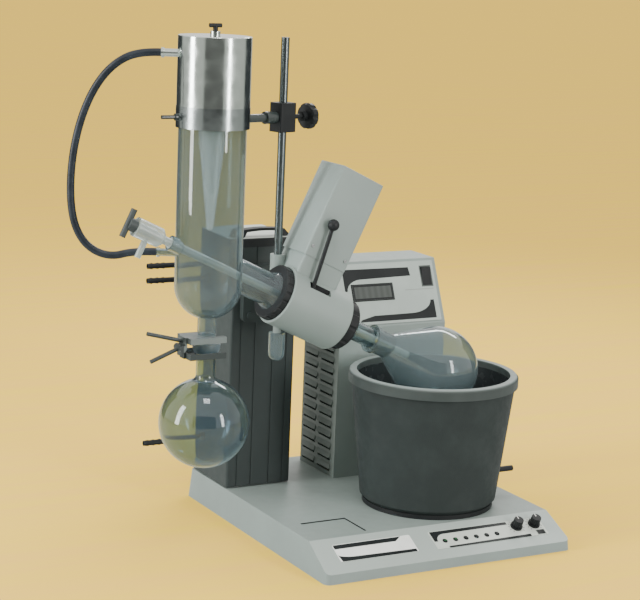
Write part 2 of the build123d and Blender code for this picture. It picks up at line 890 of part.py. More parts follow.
def make_head_housing():
    barrel = tube_x(housing_radius, 0, housing_length)
    barrel = fillet(barrel.edges().filter_by(GeomType.CIRCLE), housing_edge_round)
    case = extrude(Pos(gearcase_start + gearcase_length / 2,
                       gearcase_front + gearcase_depth / 2 - head_y, gearcase_bottom)
                   * RectangleRounded(gearcase_length, gearcase_depth, gearcase_corner),
                   amount=gearcase_top - gearcase_bottom)
    boss = cross_bar(pivot_boss_radius, 0, pivot_boss_back - head_y, pivot_along)
    socket = head_frame.inverse() * Pos(rod_x, rod_y, 0) * tube_z(rod_socket_radius, rod_socket_bottom,
                                                                  rod_socket_top)
    neck = head_frame.inverse() * rod_between((vial_x(), head_y, vial_top), (vial_x(), head_y, vial_neck_top),
                                              vial_neck_radius)
    seat = extrude(Pos(cover_start + cover_length / 2, cover_front + cover_depth / 2 - head_y,
                       gearcase_top - cover_seat)
                   * RectangleRounded(cover_length, cover_depth, cover_corner), amount=cover_seat)
    housing = barrel + case + seat + boss + socket + neck
    housing -= tube_x(nut_pocket_radius, union_start - housing_radius, nut_pocket_depth)
    housing -= tube_x(bearing_bore, 0, housing_length + cut_overrun)
    housing -= Pos(pulley_start - pulley_flange_width, 0, 0) * extrude(
        Plane.YZ * belt_outline(belt_room), amount=pulley_width + 2 * pulley_flange_width)
    housing -= cross_bar(pivot_shaft_radius + running_gap, pivot_bore_front - head_y,
                         pivot_boss_back - head_y + cut_overrun, pivot_along)
    housing -= block((lever_slot_start, -lever_offset - lever_slot_width / 2, lever_slot_floor),
                     (lever_slot_start + lever_slot_length, -lever_offset + lever_slot_width / 2,
                      housing_radius + cut_overrun))
    housing -= cross_bar(lever_pin_radius + running_gap, -lever_offset,
                         -lever_offset + lever_slot_width / 2 + lever_pin_length,
                         lever_pivot_along, lever_pivot_up)
    housing = head_frame * housing
    housing -= Pos(rod_x, rod_y, 0) * tube_z(rod_radius + running_gap, rod_bottom, rod_top)
    return housing


def vial_x():
    return head_x + vial_along * math.cos(slope) - housing_radius * math.sin(slope)


def make_motor_cover():
    middle = Pos(cover_start + cover_length / 2, cover_front + cover_depth / 2 - head_y, gearcase_top)
    outer = extrude(middle * RectangleRounded(cover_length, cover_depth, cover_corner), amount=cover_height)
    outer = fillet(outer.faces().sort_by(Axis.Z)[-1].edges(), cover_wall / 2)
    inner = extrude(middle * Pos(0, 0, -cut_overrun)
                    * Rectangle(cover_length - 2 * cover_wall, cover_depth - 2 * cover_wall),
                    amount=cover_height - cover_wall + cut_overrun)
    return head_frame * (outer - inner)


def make_motor_body():
    """Belt motor on the upright plate that carries it."""
    across = motor_y - head_y
    motor = Pos(0, across, motor_up) * tube_x(motor_radius, motor_start, motor_start + motor_length)
    motor += block((motor_start + motor_length, across - motor_plate_width / 2, gearcase_top),
                   (motor_start + motor_length + motor_plate_thickness, across + motor_plate_width / 2,
                    motor_up + motor_plate_margin))
    motor -= Pos(0, across, motor_up) * tube_x(motor_shaft_radius + running_gap,
                                               motor_start + motor_length / 2, housing_length)
    return head_frame * motor


def pulley(radius, bore):
    end = pulley_start + pulley_width
    rim = radius + pulley_flange_height
    profile = ((pulley_start, bore), (pulley_start, rim), (pulley_start + pulley_flange_width, rim),
               (pulley_start + pulley_flange_width, radius), (end - pulley_flange_width, radius),
               (end - pulley_flange_width, rim), (end, rim), (end, bore))
    return turned_x(profile)


def make_motor_pulley():
    """The small pulley with the stub of shaft that it is pressed on."""
    wheel = pulley(motor_pulley_radius, 0)
    wheel += tube_x(motor_shaft_radius, motor_start + motor_length / 2 + seat_gap,
                    pulley_start + pulley_width)
    return head_frame * Pos(0, motor_y - head_y, motor_up) * wheel


def make_driven_pulley():
    return head_frame * pulley(driven_pulley_radius, shaft_radius)


def make_drive_belt():
    loop = belt_outline(belt_clearance + belt_thickness) - belt_outline(belt_clearance)
    start = pulley_start + (pulley_width - belt_width) / 2
    return head_frame * Pos(start, 0, 0) * extrude(Plane.YZ * loop, amount=belt_width)


def make_shaft_bushes():
    bushes = Part()
    for start in (left_bush_start, housing_length - bush_length - close_gap):
        bushes += head_frame * tube_x(bearing_bore, start, start + bush_length, shaft_radius + running_gap)
    return bushes


def make_shaft_seal():
    return head_frame * tube_x(bearing_bore, nut_pocket_depth, shaft_start - seat_gap, seal_bore)


def make_drive_shaft():
    return head_frame * tube_x(shaft_radius, shaft_start, shaft_end, duct_radius)


def make_clip_ring():
    """The black ring nut at the head's right end, which pushes the flask off its cone."""
    end = clip_ring_start + clip_ring_length
    rim = clip_ring_radius
    bevel = union_chamfer
    ring = turned_x(((clip_ring_start, shaft_radius), (clip_ring_start, rim - bevel / 2),
                     (clip_ring_start + bevel / 2, rim), (end - 2 * bevel, rim), (end, rim - 2 * bevel),
                     (end, shaft_radius)))
    for i in range(clip_ring_lobes):
        turn = math.radians(i * 360 / clip_ring_lobes)
        reach = rim + clip_ring_lobe_radius * 2 / 3
        ring -= Pos(0, reach * math.cos(turn), reach * math.sin(turn)) * tube_x(
            clip_ring_lobe_radius, clip_ring_start + bevel, end + cut_overrun)
    return head_frame * ring


def make_vapour_duct():
    bore = duct_radius - duct_wall
    cone = flask_neck_radius - glass_wall
    profile = ((duct_start, bore), (duct_start, duct_radius), (duct_cone_start, duct_radius),
               (duct_cone_start, cone), (duct_end, cone), (duct_end, bore))
    return head_frame * turned_x(profile)


def pear_outline(radius, neck, mouth):
    """Half outline of a pear-shaped vessel: sphere, tangent cone and neck, mouth towards +Y."""
    lean = math.radians(flask_shoulder_deg)
    tangent = (radius * math.cos(lean), radius * math.sin(lean))
    neck_start = tangent[1] + (tangent[0] - neck) / math.tan(lean)
    side = math.radians((flask_shoulder_deg - 90) / 2)
    return make_face([
        ThreePointArc((0, -radius), (radius * math.cos(side), radius * math.sin(side)), tangent),
        Line(tangent, (neck, neck_start)),
        Line((neck, neck_start), (neck, mouth)),
        Line((neck, mouth), (0, mouth)),
        Line((0, mouth), (0, -radius))])


def make_evaporating_flask():
    outer = revolve(Plane.XZ * pear_outline(flask_radius, flask_neck_radius, flask_mouth), axis=Axis.Z)
    outer += tube_z(flask_bead_radius, flask_mouth - flask_bead_length, flask_mouth)
    inner = revolve(Plane.XZ * pear_outline(flask_radius - glass_wall, flask_neck_radius - glass_wall,
                                            flask_mouth + cut_overrun), axis=Axis.Z)
    return head_frame * Pos(flask_along, 0, 0) * Rot(0, -90, 0) * (outer - inner)


def flare_radius(along):
    """Outside radius of the condenser arm's flare at a place on the drive axis."""
    share = (along - arm_flare_start) / (arm_flare_end - arm_flare_start)
    return arm_radius + share * (arm_flange_radius - arm_radius)


def make_union_nut():
    """Fluted nut whose conical mouth draws the condenser's flare into the head."""
    mouth = flare_radius(union_start) + running_gap
    bore = arm_flange_radius + running_gap
    nut = turned_x(((union_start, mouth), (union_start, union_radius - union_chamfer),
                    (union_start + union_chamfer, union_radius), (union_end, union_radius),
                    (union_end, bore), (arm_flare_end, bore)))
    for i in range(union_flute_count):
        turn = math.radians((i + 0.5) * 360 / union_flute_count)
        reach = union_radius + union_flute_radius - union_flute_depth
        nut -= Pos(0, reach * math.cos(turn), reach * math.sin(turn)) * tube_x(
            union_flute_radius, union_start - cut_overrun, union_flute_end)
    return head_frame * nut


def make_head_lever():
    """A ball-ended lever that rocks in the slot on the barrel's upper front."""
    hub = cross_bar(lever_hub_radius, -lever_hub_width / 2, lever_hub_width / 2)
    pin = cross_bar(lever_pin_radius, 0, lever_slot_width / 2 + lever_pin_length - seat_gap)
    stem = tube_z(lever_stem_radius, 0, lever_length)
    ball = Pos(0, 0, lever_length) * Sphere(lever_ball_radius)
    lever = Rot(0, lever_lean_deg, 0) * (hub + pin + stem + ball)
    return head_frame * Pos(lever_pivot_along, -lever_offset, lever_pivot_up) * lever


# Condenser and feed


def on_condenser(solid):
    return Pos(condenser_x, head_y, 0) * solid


def port(bottom_reach, top_reach, height, radius):
    """A horizontal tube out of the condenser's side, turned back from the left."""
    direction = (math.cos(port_turn), math.sin(port_turn))
    start = (bottom_reach * direction[0], bottom_reach * direction[1], height)
    end = (top_reach * direction[0], top_reach * direction[1], height)
    return rod_between(start, end, radius)


def ported(reach_from, height):
    bead = port_reach - port_bead_length
    return (port(reach_from, port_reach, height, port_radius)
            + port(bead, port_reach, height, port_bead_radius))


def make_condenser_jacket():
    body = tube_z(jacket_radius, jacket_bowl_z, jacket_top) + Pos(0, 0, jacket_bowl_z) * Sphere(jacket_radius)
    outlet = tube_z(outlet_radius, ball_z, jacket_bowl_z - jacket_radius / 2)
    ball = Pos(0, 0, ball_z) * Sphere(ball_radius)
    ball &= tube_z(jacket_radius, ball_z - ball_half_height, ball_z + ball_half_height)
    outer = on_condenser(body + outlet + ball + ported(jacket_radius / 2, lower_port_z))
    outer += head_frame * turned_x(((condenser_along, 0), (condenser_along, arm_radius),
                                    (arm_flare_start, arm_radius), (arm_flare_end, arm_flange_radius),
                                    (arm_flange_end, arm_flange_radius), (arm_flange_end, 0)))
    outer += head_frame * tube_x(feed_sleeve_radius, feed_sleeve_end, condenser_along)
    hollow = tube_z(jacket_radius - jacket_wall, jacket_bowl_z, jacket_top + cut_overrun)
    hollow += Pos(0, 0, jacket_bowl_z) * Sphere(jacket_radius - jacket_wall)
    hollow += tube_z(outlet_radius - outlet_wall, ball_z - ball_radius, jacket_bowl_z)
    hollow += port(0, port_reach + cut_overrun, lower_port_z, port_bore)
    inner = on_condenser(hollow)
    rim = arm_flange_radius - arm_flange_wall
    inner += head_frame * turned_x(((condenser_along, 0), (condenser_along, arm_radius - arm_wall),
                                    (arm_flare_start, arm_radius - arm_wall), (arm_flare_end, rim),
                                    (arm_flange_end + cut_overrun, rim), (arm_flange_end + cut_overrun, 0)))
    inner += head_frame * tube_x(feed_sleeve_radius - jacket_wall, feed_sleeve_end - cut_overrun,
                                 condenser_along)
    return outer - inner


def make_condenser_gasket():
    return on_condenser(tube_z(reservoir_outer - reservoir_wall - close_gap, jacket_top,
                               jacket_top + gasket_height, gasket_inner))


def make_cold_finger():
    """Glass cone that hangs from a round plate on the gasket, open at the top."""
    seat = jacket_top + gasket_height
    rim = seat + finger_plate_height
    tip = Pos(0, 0, finger_tip_z) * Sphere(finger_tip_radius)
    cone = turned_z(((0, finger_tip_z), (finger_tip_radius, finger_tip_z), (finger_top_radius, seat),
                     (finger_top_radius, rim), (0, rim)))
    plate = tube_z(reservoir_outer - reservoir_wall - close_gap, seat, rim)
    hollow_tip = finger_tip_radius - finger_wall
    hollow = Pos(0, 0, finger_tip_z) * Sphere(hollow_tip)
    hollow += turned_z(((0, finger_tip_z), (hollow_tip, finger_tip_z),
                        (finger_top_radius - finger_wall, seat), (finger_top_radius - finger_wall, rim
                                                                  + cut_overrun), (0, rim + cut_overrun)))
    return on_condenser(tip + cone + plate - hollow)


def make_condenser_cap():
    cap = tube_z(reservoir_outer, reservoir_bottom, reservoir_top)
    cap = fillet(cap.edges().group_by(Axis.Z)[-1], reservoir_edge_round)
    cap += tube_z(vent_boss_radius, reservoir_top - reservoir_wall, reservoir_top + vent_boss_height)
    cap += ported(reservoir_outer - 2 * reservoir_wall, upper_port_z)
    cap -= tube_z(reservoir_outer - reservoir_wall, reservoir_bottom - cut_overrun,
                  reservoir_top - reservoir_wall)
    cap -= port(0, port_reach + cut_overrun, upper_port_z, port_bore)
    cap -= tube_z(vent_stem_radius + running_gap, reservoir_top - reservoir_wall - cut_overrun,
                  reservoir_top + vent_boss_height + cut_overrun)
    return on_condenser(cap)


def make_vent_key():
    top = reservoir_top + vent_boss_height
    key = tube_z(vent_stem_radius, top - vent_stem_depth, top + vent_key_neck)
    bar = rod_between((-vent_key_length / 2, 0, top + vent_key_neck),
                      (vent_key_length / 2, 0, top + vent_key_neck), vent_key_radius)
    return on_condenser(key + bar)


def make_feed_tube():
    """Glass feed tube on the drive axis, with its valve body and the spout beneath it."""
    taper = feed_body_taper
    profile = ((feed_body_start, 0), (feed_body_start, feed_body_radius),
               (feed_body_end - taper, feed_body_radius), (feed_body_end, feed_tube_radius),
               (feed_tube_end, feed_tube_radius), (feed_tube_end, 0))
    tube = turned_x(profile)
    tube += rod_between((feed_spout_along, 0, 0), (feed_spout_along, 0, -feed_spout_length),
                        feed_spout_radius)
    tube += tube_x(feed_sleeve_radius - jacket_wall, feed_sleeve_end, feed_sleeve_end + feed_joint_length)
    tube -= tube_x(feed_key_bore, feed_body_start - cut_overrun, feed_body_start + feed_key_bore_depth)
    tube -= tube_x(feed_tube_bore, feed_body_start, feed_tube_end + cut_overrun)
    tube -= rod_between((feed_spout_along, 0, 0), (feed_spout_along, 0, -feed_spout_length - cut_overrun),
                        feed_spout_bore)
    return head_frame * tube


def make_feed_key():
    key = tube_x(feed_key_bore - running_gap, key_bar_along,
                 feed_body_start + feed_key_bore_depth - seat_gap)
    key += Pos(key_bar_along, 0, 0) * tube_z(key_bar_radius, -key_bar_length / 2, key_bar_length / 2)
    key += tube_x(feed_body_radius * 2 / 3, key_bar_along, feed_body_start - seat_gap)
    return head_frame * key


def make_drip_vial():
    bottom = vial_top - vial_height
    bowl = bottom + vial_radius
    vial = tube_z(vial_radius, bowl, vial_top) + Pos(0, 0, bowl) * Sphere(vial_radius)
    hollow = tube_z(vial_radius - vial_wall, bowl, vial_top - vial_wall)
    hollow += Pos(0, 0, bowl) * Sphere(vial_radius - vial_wall)
    return Pos(vial_x(), head_y, 0) * (vial - hollow)


# Condenser clamp


def clamp_direction():
    run = Vector(rod_x - condenser_x, rod_y - head_y, 0)
    return run.normalized(), run.length


def along_clamp(solid):
    """Place a solid made along +X from the rod's axis, pointing away from the condenser."""
    direction, _ = clamp_direction()
    return Plane(origin=(rod_x, rod_y, arm_z), x_dir=direction, z_dir=(0, 0, 1)).location * solid


def make_condenser_clamp():
    _, reach = clamp_direction()
    ring = on_condenser(tube_z(ring_outer, ring_bottom, reservoir_bottom, jacket_radius + seat_gap))
    start = (ring_outer + jacket_radius + seat_gap) / 2 - reach
    bar = tube_x(arm_thin_radius, start, -boss_length / 2)
    bar += tube_x(arm_thick_radius, arm_thin_end - reach, -boss_length / 2)
    screw = tube_x(ring_screw_radius, -ring_outer - ring_screw_length, -jacket_radius)
    screw += tube_x(ring_screw_head_radius, -ring_outer - ring_screw_head_length, -ring_outer)
    screw = Pos(condenser_x, head_y, (ring_bottom + reservoir_bottom) / 2) * screw
    return ring + along_clamp(bar) + screw


def make_boss_head():
    outline = Plane(origin=(0, 0, -boss_height / 2)) * RectangleRounded(boss_length, boss_width, boss_corner)
    boss = extrude(outline, amount=boss_height)
    boss -= tube_z(rod_radius, -boss_height, boss_height)
    boss -= tube_x(knob_stem_radius + running_gap, 0, boss_length)
    return along_clamp(boss)


def make_clamp_knob():
    """Thumb screw through the boss head, pressing on the rod."""
    end = clamp_stem_end + clamp_disc_length
    knob = tube_x(knob_stem_radius, rod_radius + seat_gap, end)
    knob += tube_x(clamp_collar_radius, clamp_stem_end - clamp_collar_length, clamp_stem_end)
    disc = tube_x(clamp_disc_radius, clamp_stem_end, end)
    disc = fillet(disc.edges().filter_by(GeomType.CIRCLE), boss_corner)
    for i in range(clamp_disc_lobes):
        turn = math.radians(i * 360 / clamp_disc_lobes)
        reach = clamp_disc_radius + clamp_disc_lobe_radius / 2
        disc -= Pos(0, reach * math.cos(turn), reach * math.sin(turn)) * tube_x(
            clamp_disc_lobe_radius, clamp_stem_end - cut_overrun, end + cut_overrun)
    return along_clamp(knob + disc)


# Receiving flask and clip


def make_receiving_flask():
    outer = Pos(0, 0, receiver_z) * Sphere(flask_radius)
    outer += tube_z(receiver_neck_radius, receiver_z, ball_z - ball_radius / 2)
    joint = outer.edges().filter_by(GeomType.CIRCLE).sort_by(Axis.Z)[-2]
    outer = fillet(joint, receiver_shoulder_round)
    cup = Pos(0, 0, ball_z) * Sphere(ball_radius + seat_gap + cup_wall)
    cup &= tube_z(flask_radius, receiver_z, cup_top)
    outer += cup
    hollow = Pos(0, 0, receiver_z) * Sphere(flask_radius - glass_wall)
    hollow += tube_z(receiver_neck_radius - glass_wall, receiver_z, ball_z)
    hollow += Pos(0, 0, ball_z) * Sphere(ball_radius + seat_gap)
    return on_condenser(outer - hollow)


def clip_plate(bottom, half):
    """A jaw's flat plate with the slot that takes a glass tube."""
    plate = block((clip_plate_left, -clip_plate_half_width, bottom),
                  (clip_plate_right, clip_plate_half_width, bottom + clip_plate_thickness))
    slot = Pos(condenser_x, 0, 0) * tube_z(half, bottom - cut_overrun, bottom + cut_overrun)
    slot += block((condenser_x, -half, bottom - cut_overrun),
                  (clip_plate_right + cut_overrun, half, bottom + cut_overrun))
    return plate - slot


def clip_skirt(low, high):
    """The turned edge round three sides of a jaw's plate."""
    half = clip_plate_half_width
    wall = clip_plate_thickness
    skirt = block((clip_plate_left, -half, low), (clip_plate_right, half, high))
    return skirt - block((clip_plate_left + wall, wall - half, low - cut_overrun),
                         (clip_plate_right + cut_overrun, half - wall, high + cut_overrun))


def clip_bar(radius, half_length):
    return Pos(clip_pivot_x, 0, clip_pivot_z) * cross_bar(radius, -half_length, half_length)


def make_clip_upper():
    """The jaw that sits on the condenser's outlet, with the ears and the pin."""
    inner = clip_knuckle_half + clip_ear_gap
    outer = inner + clip_ear_thickness
    web_left = clip_plate_left - clip_web_thickness
    jaw = clip_plate(clip_upper_z, outlet_radius) + clip_skirt(clip_upper_z - clip_skirt_height, clip_upper_z)
    jaw += block((web_left, -outer, clip_pivot_z),
                 (clip_plate_left, outer, clip_upper_z + clip_plate_thickness))
    jaw += clip_bar(clip_knuckle_radius, outer)
    jaw -= clip_bar(clip_knuckle_radius + clip_ear_gap, inner)
    jaw += clip_bar(clip_pin_radius, outer)
    jaw += rod_between((clip_handle_root[0], 0, clip_handle_root[1]),
                       (clip_upper_handle[0], 0, clip_upper_handle[1]), clip_handle_radius)
    return Pos(0, head_y, 0) * jaw


def make_clip_lower():
    """The jaw under the flask's cup, which swings down on the pin."""
    web_left = clip_plate_left - clip_web_thickness
    run = math.hypot(clip_lower_handle[0] - clip_pivot_x, clip_lower_handle[1] - clip_pivot_z)
    share = clip_handle_start / run
    start = (clip_pivot_x + share * (clip_lower_handle[0] - clip_pivot_x), 0,
             clip_pivot_z + share * (clip_lower_handle[1] - clip_pivot_z))
    plate_top = clip_lower_z + clip_plate_thickness
    jaw = clip_plate(clip_lower_z, receiver_neck_radius + clip_slot_clearance)
    jaw += clip_skirt(plate_top, plate_top + clip_skirt_height)
    jaw += block((web_left, -clip_knuckle_half, clip_lower_z),
                 (clip_plate_left, clip_knuckle_half, clip_pivot_z))
    jaw += clip_bar(clip_knuckle_radius, clip_knuckle_half)
    jaw += rod_between(start, (clip_lower_handle[0], 0, clip_lower_handle[1]), clip_handle_radius)
    jaw -= clip_bar(clip_pin_radius + running_gap, clip_plate_half_width)
    return Pos(0, head_y, 0) * jaw


# Bath


def on_bath(solid):
    return Pos(bath_x, bath_y, 0) * solid


def make_bath_pot():
    bottom = deck_height + bath_foot_height
    pot = turned_z(((0, bottom), (pot_bottom_radius - pot_bottom_round, bottom),
                    (pot_bottom_radius, bottom + pot_bottom_round), (pot_top_radius, pot_top), (0, pot_top)))
    grow = (pot_top_radius - pot_bottom_radius) / (pot_top - bottom)
    floor = bottom + pot_wall
    inside = pot_bottom_radius - pot_wall
    pot -= turned_z(((0, floor), (inside - pot_bottom_round, floor), (inside, floor + pot_bottom_round),
                     (pot_top_radius - pot_wall + cut_overrun * grow, pot_top + cut_overrun),
                     (0, pot_top + cut_overrun)))
    pot -= Pos(0, 0, drain_z) * tube_x(drain_radius + close_gap, 0, rim_outer)
    return on_bath(pot)


def make_bath_foot():
    return on_bath(tube_z(bath_foot_outer, deck_height, deck_height + bath_foot_height, bath_foot_inner))


def make_bath_liner():
    lip_top = pot_top + liner_wall
    lip_radius = pot_top_radius - liner_wall
    liner = turned_z((
        (0, liner_bottom), (liner_bottom_radius, liner_bottom), (liner_top_radius, pot_top),
        (lip_radius, pot_top), (lip_radius, lip_top), (liner_top_radius - liner_wall, lip_top),
        (liner_bottom_radius - liner_wall, liner_bottom + liner_wall), (0, liner_bottom + liner_wall)))
    liner -= Pos(0, 0, drain_z) * tube_x(drain_radius + close_gap, 0, rim_outer)
    return on_bath(liner)


def make_bath_rim():
    profile = ((rim_inner, pot_top + liner_wall), (pot_top_radius + close_gap, pot_top + liner_wall),
               (pot_top_radius + close_gap, rim_bottom), (rim_outer, rim_bottom),
               (rim_outer, rim_top - rim_round), (rim_outer - rim_round, rim_top), (rim_inner, rim_top))
    return on_bath(turned_z(profile))


def make_bath_heater():
    height = liner_bottom - heater_rod_radius
    return on_bath(Pos(0, 0, height) * Torus(heater_ring_radius, heater_rod_radius))


def make_bath_drain():
    share = (drain_z - liner_bottom) / (pot_top - liner_bottom)
    start = liner_bottom_radius + share * (liner_top_radius - liner_bottom_radius) - liner_wall
    end = start + drain_length
    wall_share = (drain_z - deck_height - bath_foot_height) / (pot_top - deck_height - bath_foot_height)
    wall = pot_bottom_radius + wall_share * (pot_top_radius - pot_bottom_radius) + drain_collar_length / 2
    drain = tube_x(drain_radius, start, end)
    drain += tube_x(drain_collar_radius, wall, wall + drain_collar_length)
    drain -= tube_x(drain_bore, start - cut_overrun, end + cut_overrun)
    return on_bath(Pos(0, 0, drain_z) * drain)


# Hose


def corner_radii(points):
    """Each corner's radius: 0.45 of its shorter run over the tangent of half its turn."""
    radii = []
    for before, corner, after in zip(points, points[1:], points[2:]):
        arriving = Vector(*corner) - Vector(*before)
        leaving = Vector(*after) - Vector(*corner)
        half_turn = math.radians(arriving.get_angle(leaving) / 2)
        radii.append(0.45 * min(arriving.length, leaving.length) / math.tan(half_turn))
    return radii


def cord(name, points, radius):
    radii = corner_radii(points)
    path = FilletPolyline(*points, radius=radii)
    start = Plane(origin=path @ 0, z_dir=path % 0)
    tube = sweep(start * Circle(radius), path=path)
    wanted = math.pi * radius * radius * path.length
    print(name, "length", round(path.length, 1), "volume ratio", round(tube.volume / wanted, 4),
          "radii", [round(r, 1) for r in radii])
    return tube


def make_vacuum_hose():
    direction = (math.cos(port_turn), math.sin(port_turn))
    points = [(condenser_x + reach * direction[0], head_y + reach * direction[1], height)
              for reach, height in hose_route]
    return cord("vacuum_hose", points, hose_radius)


base_rocker, base_rocker_frame = base_rocker_parts()
panel_rocker, panel_rocker_frame = panel_rocker_parts()

nodes = {
    "base_shell": make_base_shell(),
    "bottom_plate": make_bottom_plate(),
    "rubber_feet": make_feet(),
    "nameplate": panel_plate(nameplate_width, nameplate_height, nameplate_x, nameplate_up),
    "control_strip": make_control_strip(),
    "indicator_lamps": make_indicator_lamps(),
    "control_pots": make_control_pots(),
    "switch_frames": base_rocker_frame + panel_rocker_frame,
    "base_rocker": base_rocker,
    "panel_rocker": panel_rocker,
    "column_case": make_column_case(),
    "column_fascia": make_fascia(),
    "display_window": make_display(),
    "lift_mast": make_mast(),
    "strut_cylinder": make_strut_cylinder(),
    "tower_sleeve": make_tower_sleeve(),
    "tower_cap": make_tower_cap(),
    "tower_handle": make_tower_handle(),
    "strut_rod": make_strut_rod(),
    "hose_spigots": make_hose_spigots(),
    "head_bracket": make_head_bracket(),
    "head_housing": make_head_housing(),
    "motor_cover": make_motor_cover(),
    "motor_body": make_motor_body(),
    "motor_pulley": make_motor_pulley(),
    "driven_pulley": make_driven_pulley(),
    "drive_belt": make_drive_belt(),
    "shaft_bushes": make_shaft_bushes(),
    "shaft_seal": make_shaft_seal(),
    "drive_shaft": make_drive_shaft(),
    "clip_ring": make_clip_ring(),
    "vapour_duct": make_vapour_duct(),
    "evaporating_flask": make_evaporating_flask(),
    "union_nut": make_union_nut(),
    "head_lever": make_head_lever(),
    "support_rod": Pos(rod_x, rod_y, 0) * tube_z(rod_radius, rod_bottom, rod_top),
    "boss_head": make_boss_head(),
    "condenser_clamp": make_condenser_clamp(),
    "clamp_knob": make_clamp_knob(),
    "condenser_jacket": make_condenser_jacket(),
    "condenser_gasket": make_condenser_gasket(),
    "cold_finger": make_cold_finger(),
    "condenser_cap": make_condenser_cap(),
    "vent_key": make_vent_key(),
    "feed_tube": make_feed_tube(),
    "feed_key": make_feed_key(),
    "drip_vial": make_drip_vial(),
    "vacuum_hose": make_vacuum_hose(),
    "receiving_flask": make_receiving_flask(),
    "clip_lower": make_clip_lower(),
    "clip_upper": make_clip_upper(),
    "bath_foot": make_bath_foot(),
    "bath_pot": make_bath_pot(),
    "bath_liner": make_bath_liner(),
    "bath_rim": make_bath_rim(),
    "bath_heater": make_bath_heater(),
    "bath_drain": make_bath_drain(),
}
for knob_name, x in zip(knob_names, knob_x):
    nodes[knob_name] = make_knob(x)

os.makedirs("parts", exist_ok=True)
for name, solid in nodes.items():
    solid.label = name
    export_step(solid, f"parts/{name}.step")
print(len(nodes), "parts written")
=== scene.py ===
# %% [markdown]
# # A bench rotary evaporator
# The instrument boils a liquid off gently in a turning flask, cools the vapour in an upright glass
# condenser and catches it in a round flask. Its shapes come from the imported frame, so this script dresses
# them: paint, glass, steel and rubber, and the small pieces that the frame leaves out. Everything is in
# metres, with the base's middle at the origin.

# %% Load the frame
import math
from collections import namedtuple
from itertools import product

import bpy
from mathutils import Matrix, Vector


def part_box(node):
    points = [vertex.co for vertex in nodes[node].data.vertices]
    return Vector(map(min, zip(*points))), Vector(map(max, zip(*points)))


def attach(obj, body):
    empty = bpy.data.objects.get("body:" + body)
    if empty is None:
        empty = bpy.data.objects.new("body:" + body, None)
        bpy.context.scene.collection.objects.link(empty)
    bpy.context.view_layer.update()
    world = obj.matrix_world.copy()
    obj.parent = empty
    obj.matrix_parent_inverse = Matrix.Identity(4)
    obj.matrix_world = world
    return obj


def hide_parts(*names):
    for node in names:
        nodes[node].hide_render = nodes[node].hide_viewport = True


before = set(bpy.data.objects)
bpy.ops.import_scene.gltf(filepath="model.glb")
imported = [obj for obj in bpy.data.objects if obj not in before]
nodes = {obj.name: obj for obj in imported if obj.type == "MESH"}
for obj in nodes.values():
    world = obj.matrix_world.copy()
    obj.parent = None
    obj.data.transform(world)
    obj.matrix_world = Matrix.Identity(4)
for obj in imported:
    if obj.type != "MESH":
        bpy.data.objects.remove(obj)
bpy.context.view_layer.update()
print("frame loaded:", len(nodes), "nodes")

# %% [markdown]
# ## Places on the object
# The drive head and both panels lean, and many small pieces sit on them. Each leaning face is given once,
# by a place on it and its own directions, so a later step counts along the face and not along the room's
# axes.

# %% Places on the object
CONDENSER_X, CONDENSER_Y = -0.327, -0.063
DRIVE_SLOPE = math.radians(25.5)
DRIVE_AXIS = Vector((math.cos(DRIVE_SLOPE), 0, -math.sin(DRIVE_SLOPE)))
DRIVE_NORMAL = Vector((math.sin(DRIVE_SLOPE), 0, math.cos(DRIVE_SLOPE)))
HEAD_PLACE = Vector((-0.2164, -0.063, 0.388))
Panel = namedtuple("Panel", "origin rise normal")


def leaning_panel(front, bottom, depth, height):
    """A panel by the place of its low front edge, how far it runs back and how far it rises."""
    rise = Vector((0, depth, height)).normalized()
    normal = Vector((0, -height, depth)).normalized()
    return Panel(Vector((0, front, bottom)), rise, normal)


def head_place(along, y, up):
    """A place in the drive head's own directions."""
    return HEAD_PLACE + along * DRIVE_AXIS + Vector((0, y, 0)) + up * DRIVE_NORMAL


BASE_PANEL = leaning_panel(front=-0.235, bottom=0.014, depth=0.063, height=0.032)
COLUMN_PANEL = leaning_panel(front=0.095, bottom=0.29, depth=0.044, height=0.099)
print("drive head leans", round(math.degrees(DRIVE_SLOPE), 1), "degrees")

# %% [markdown]
# ## The camera
# The photograph was taken from the left front, a little above the condenser's top, with a long lens. The
# camera's place and its three angles were worked out from the straight edges of the base and the column
# and from the bath's rim. A camera could be aimed with a constraint, but building its axes from yaw,
# pitch and roll keeps each angle readable.

# %% Camera
IMAGE_WIDTH = 640
FOCAL_PIXELS = 1857.7
SENSOR_MM = 36.0
CAMERA_REACH = 200
CAMERA_PLACE = Vector((-1.4452, -2.3994, 0.8908))
YAW, PITCH, ROLL = (math.radians(angle) for angle in (29.10, 10.93, 2.34))


def camera_axes(yaw, pitch, roll):
    """The camera's right, up and forward directions in the frame."""
    forward = Vector((math.sin(yaw) * math.cos(pitch), math.cos(yaw) * math.cos(pitch), -math.sin(pitch)))
    level_right = Vector((math.cos(yaw), -math.sin(yaw), 0))
    level_up = level_right.cross(forward)
    right = math.cos(roll) * level_right + math.sin(roll) * level_up
    up = math.cos(roll) * level_up - math.sin(roll) * level_right
    return right, up, forward


def make_camera():
    right, up, forward = camera_axes(YAW, PITCH, ROLL)
    data = bpy.data.cameras.new("camera")
    data.sensor_fit = "HORIZONTAL"
    data.sensor_width = SENSOR_MM
    data.lens = FOCAL_PIXELS * SENSOR_MM / IMAGE_WIDTH
    data.clip_end = CAMERA_REACH
    camera = bpy.data.objects.new("camera", data)
    turn = Matrix((right, up, -forward)).transposed()
    camera.matrix_world = Matrix.Translation(CAMERA_PLACE) @ turn.to_4x4()
    bpy.context.collection.objects.link(camera)
    bpy.context.scene.camera = camera
    print("camera lens", round(data.lens, 1), "mm")


make_camera()

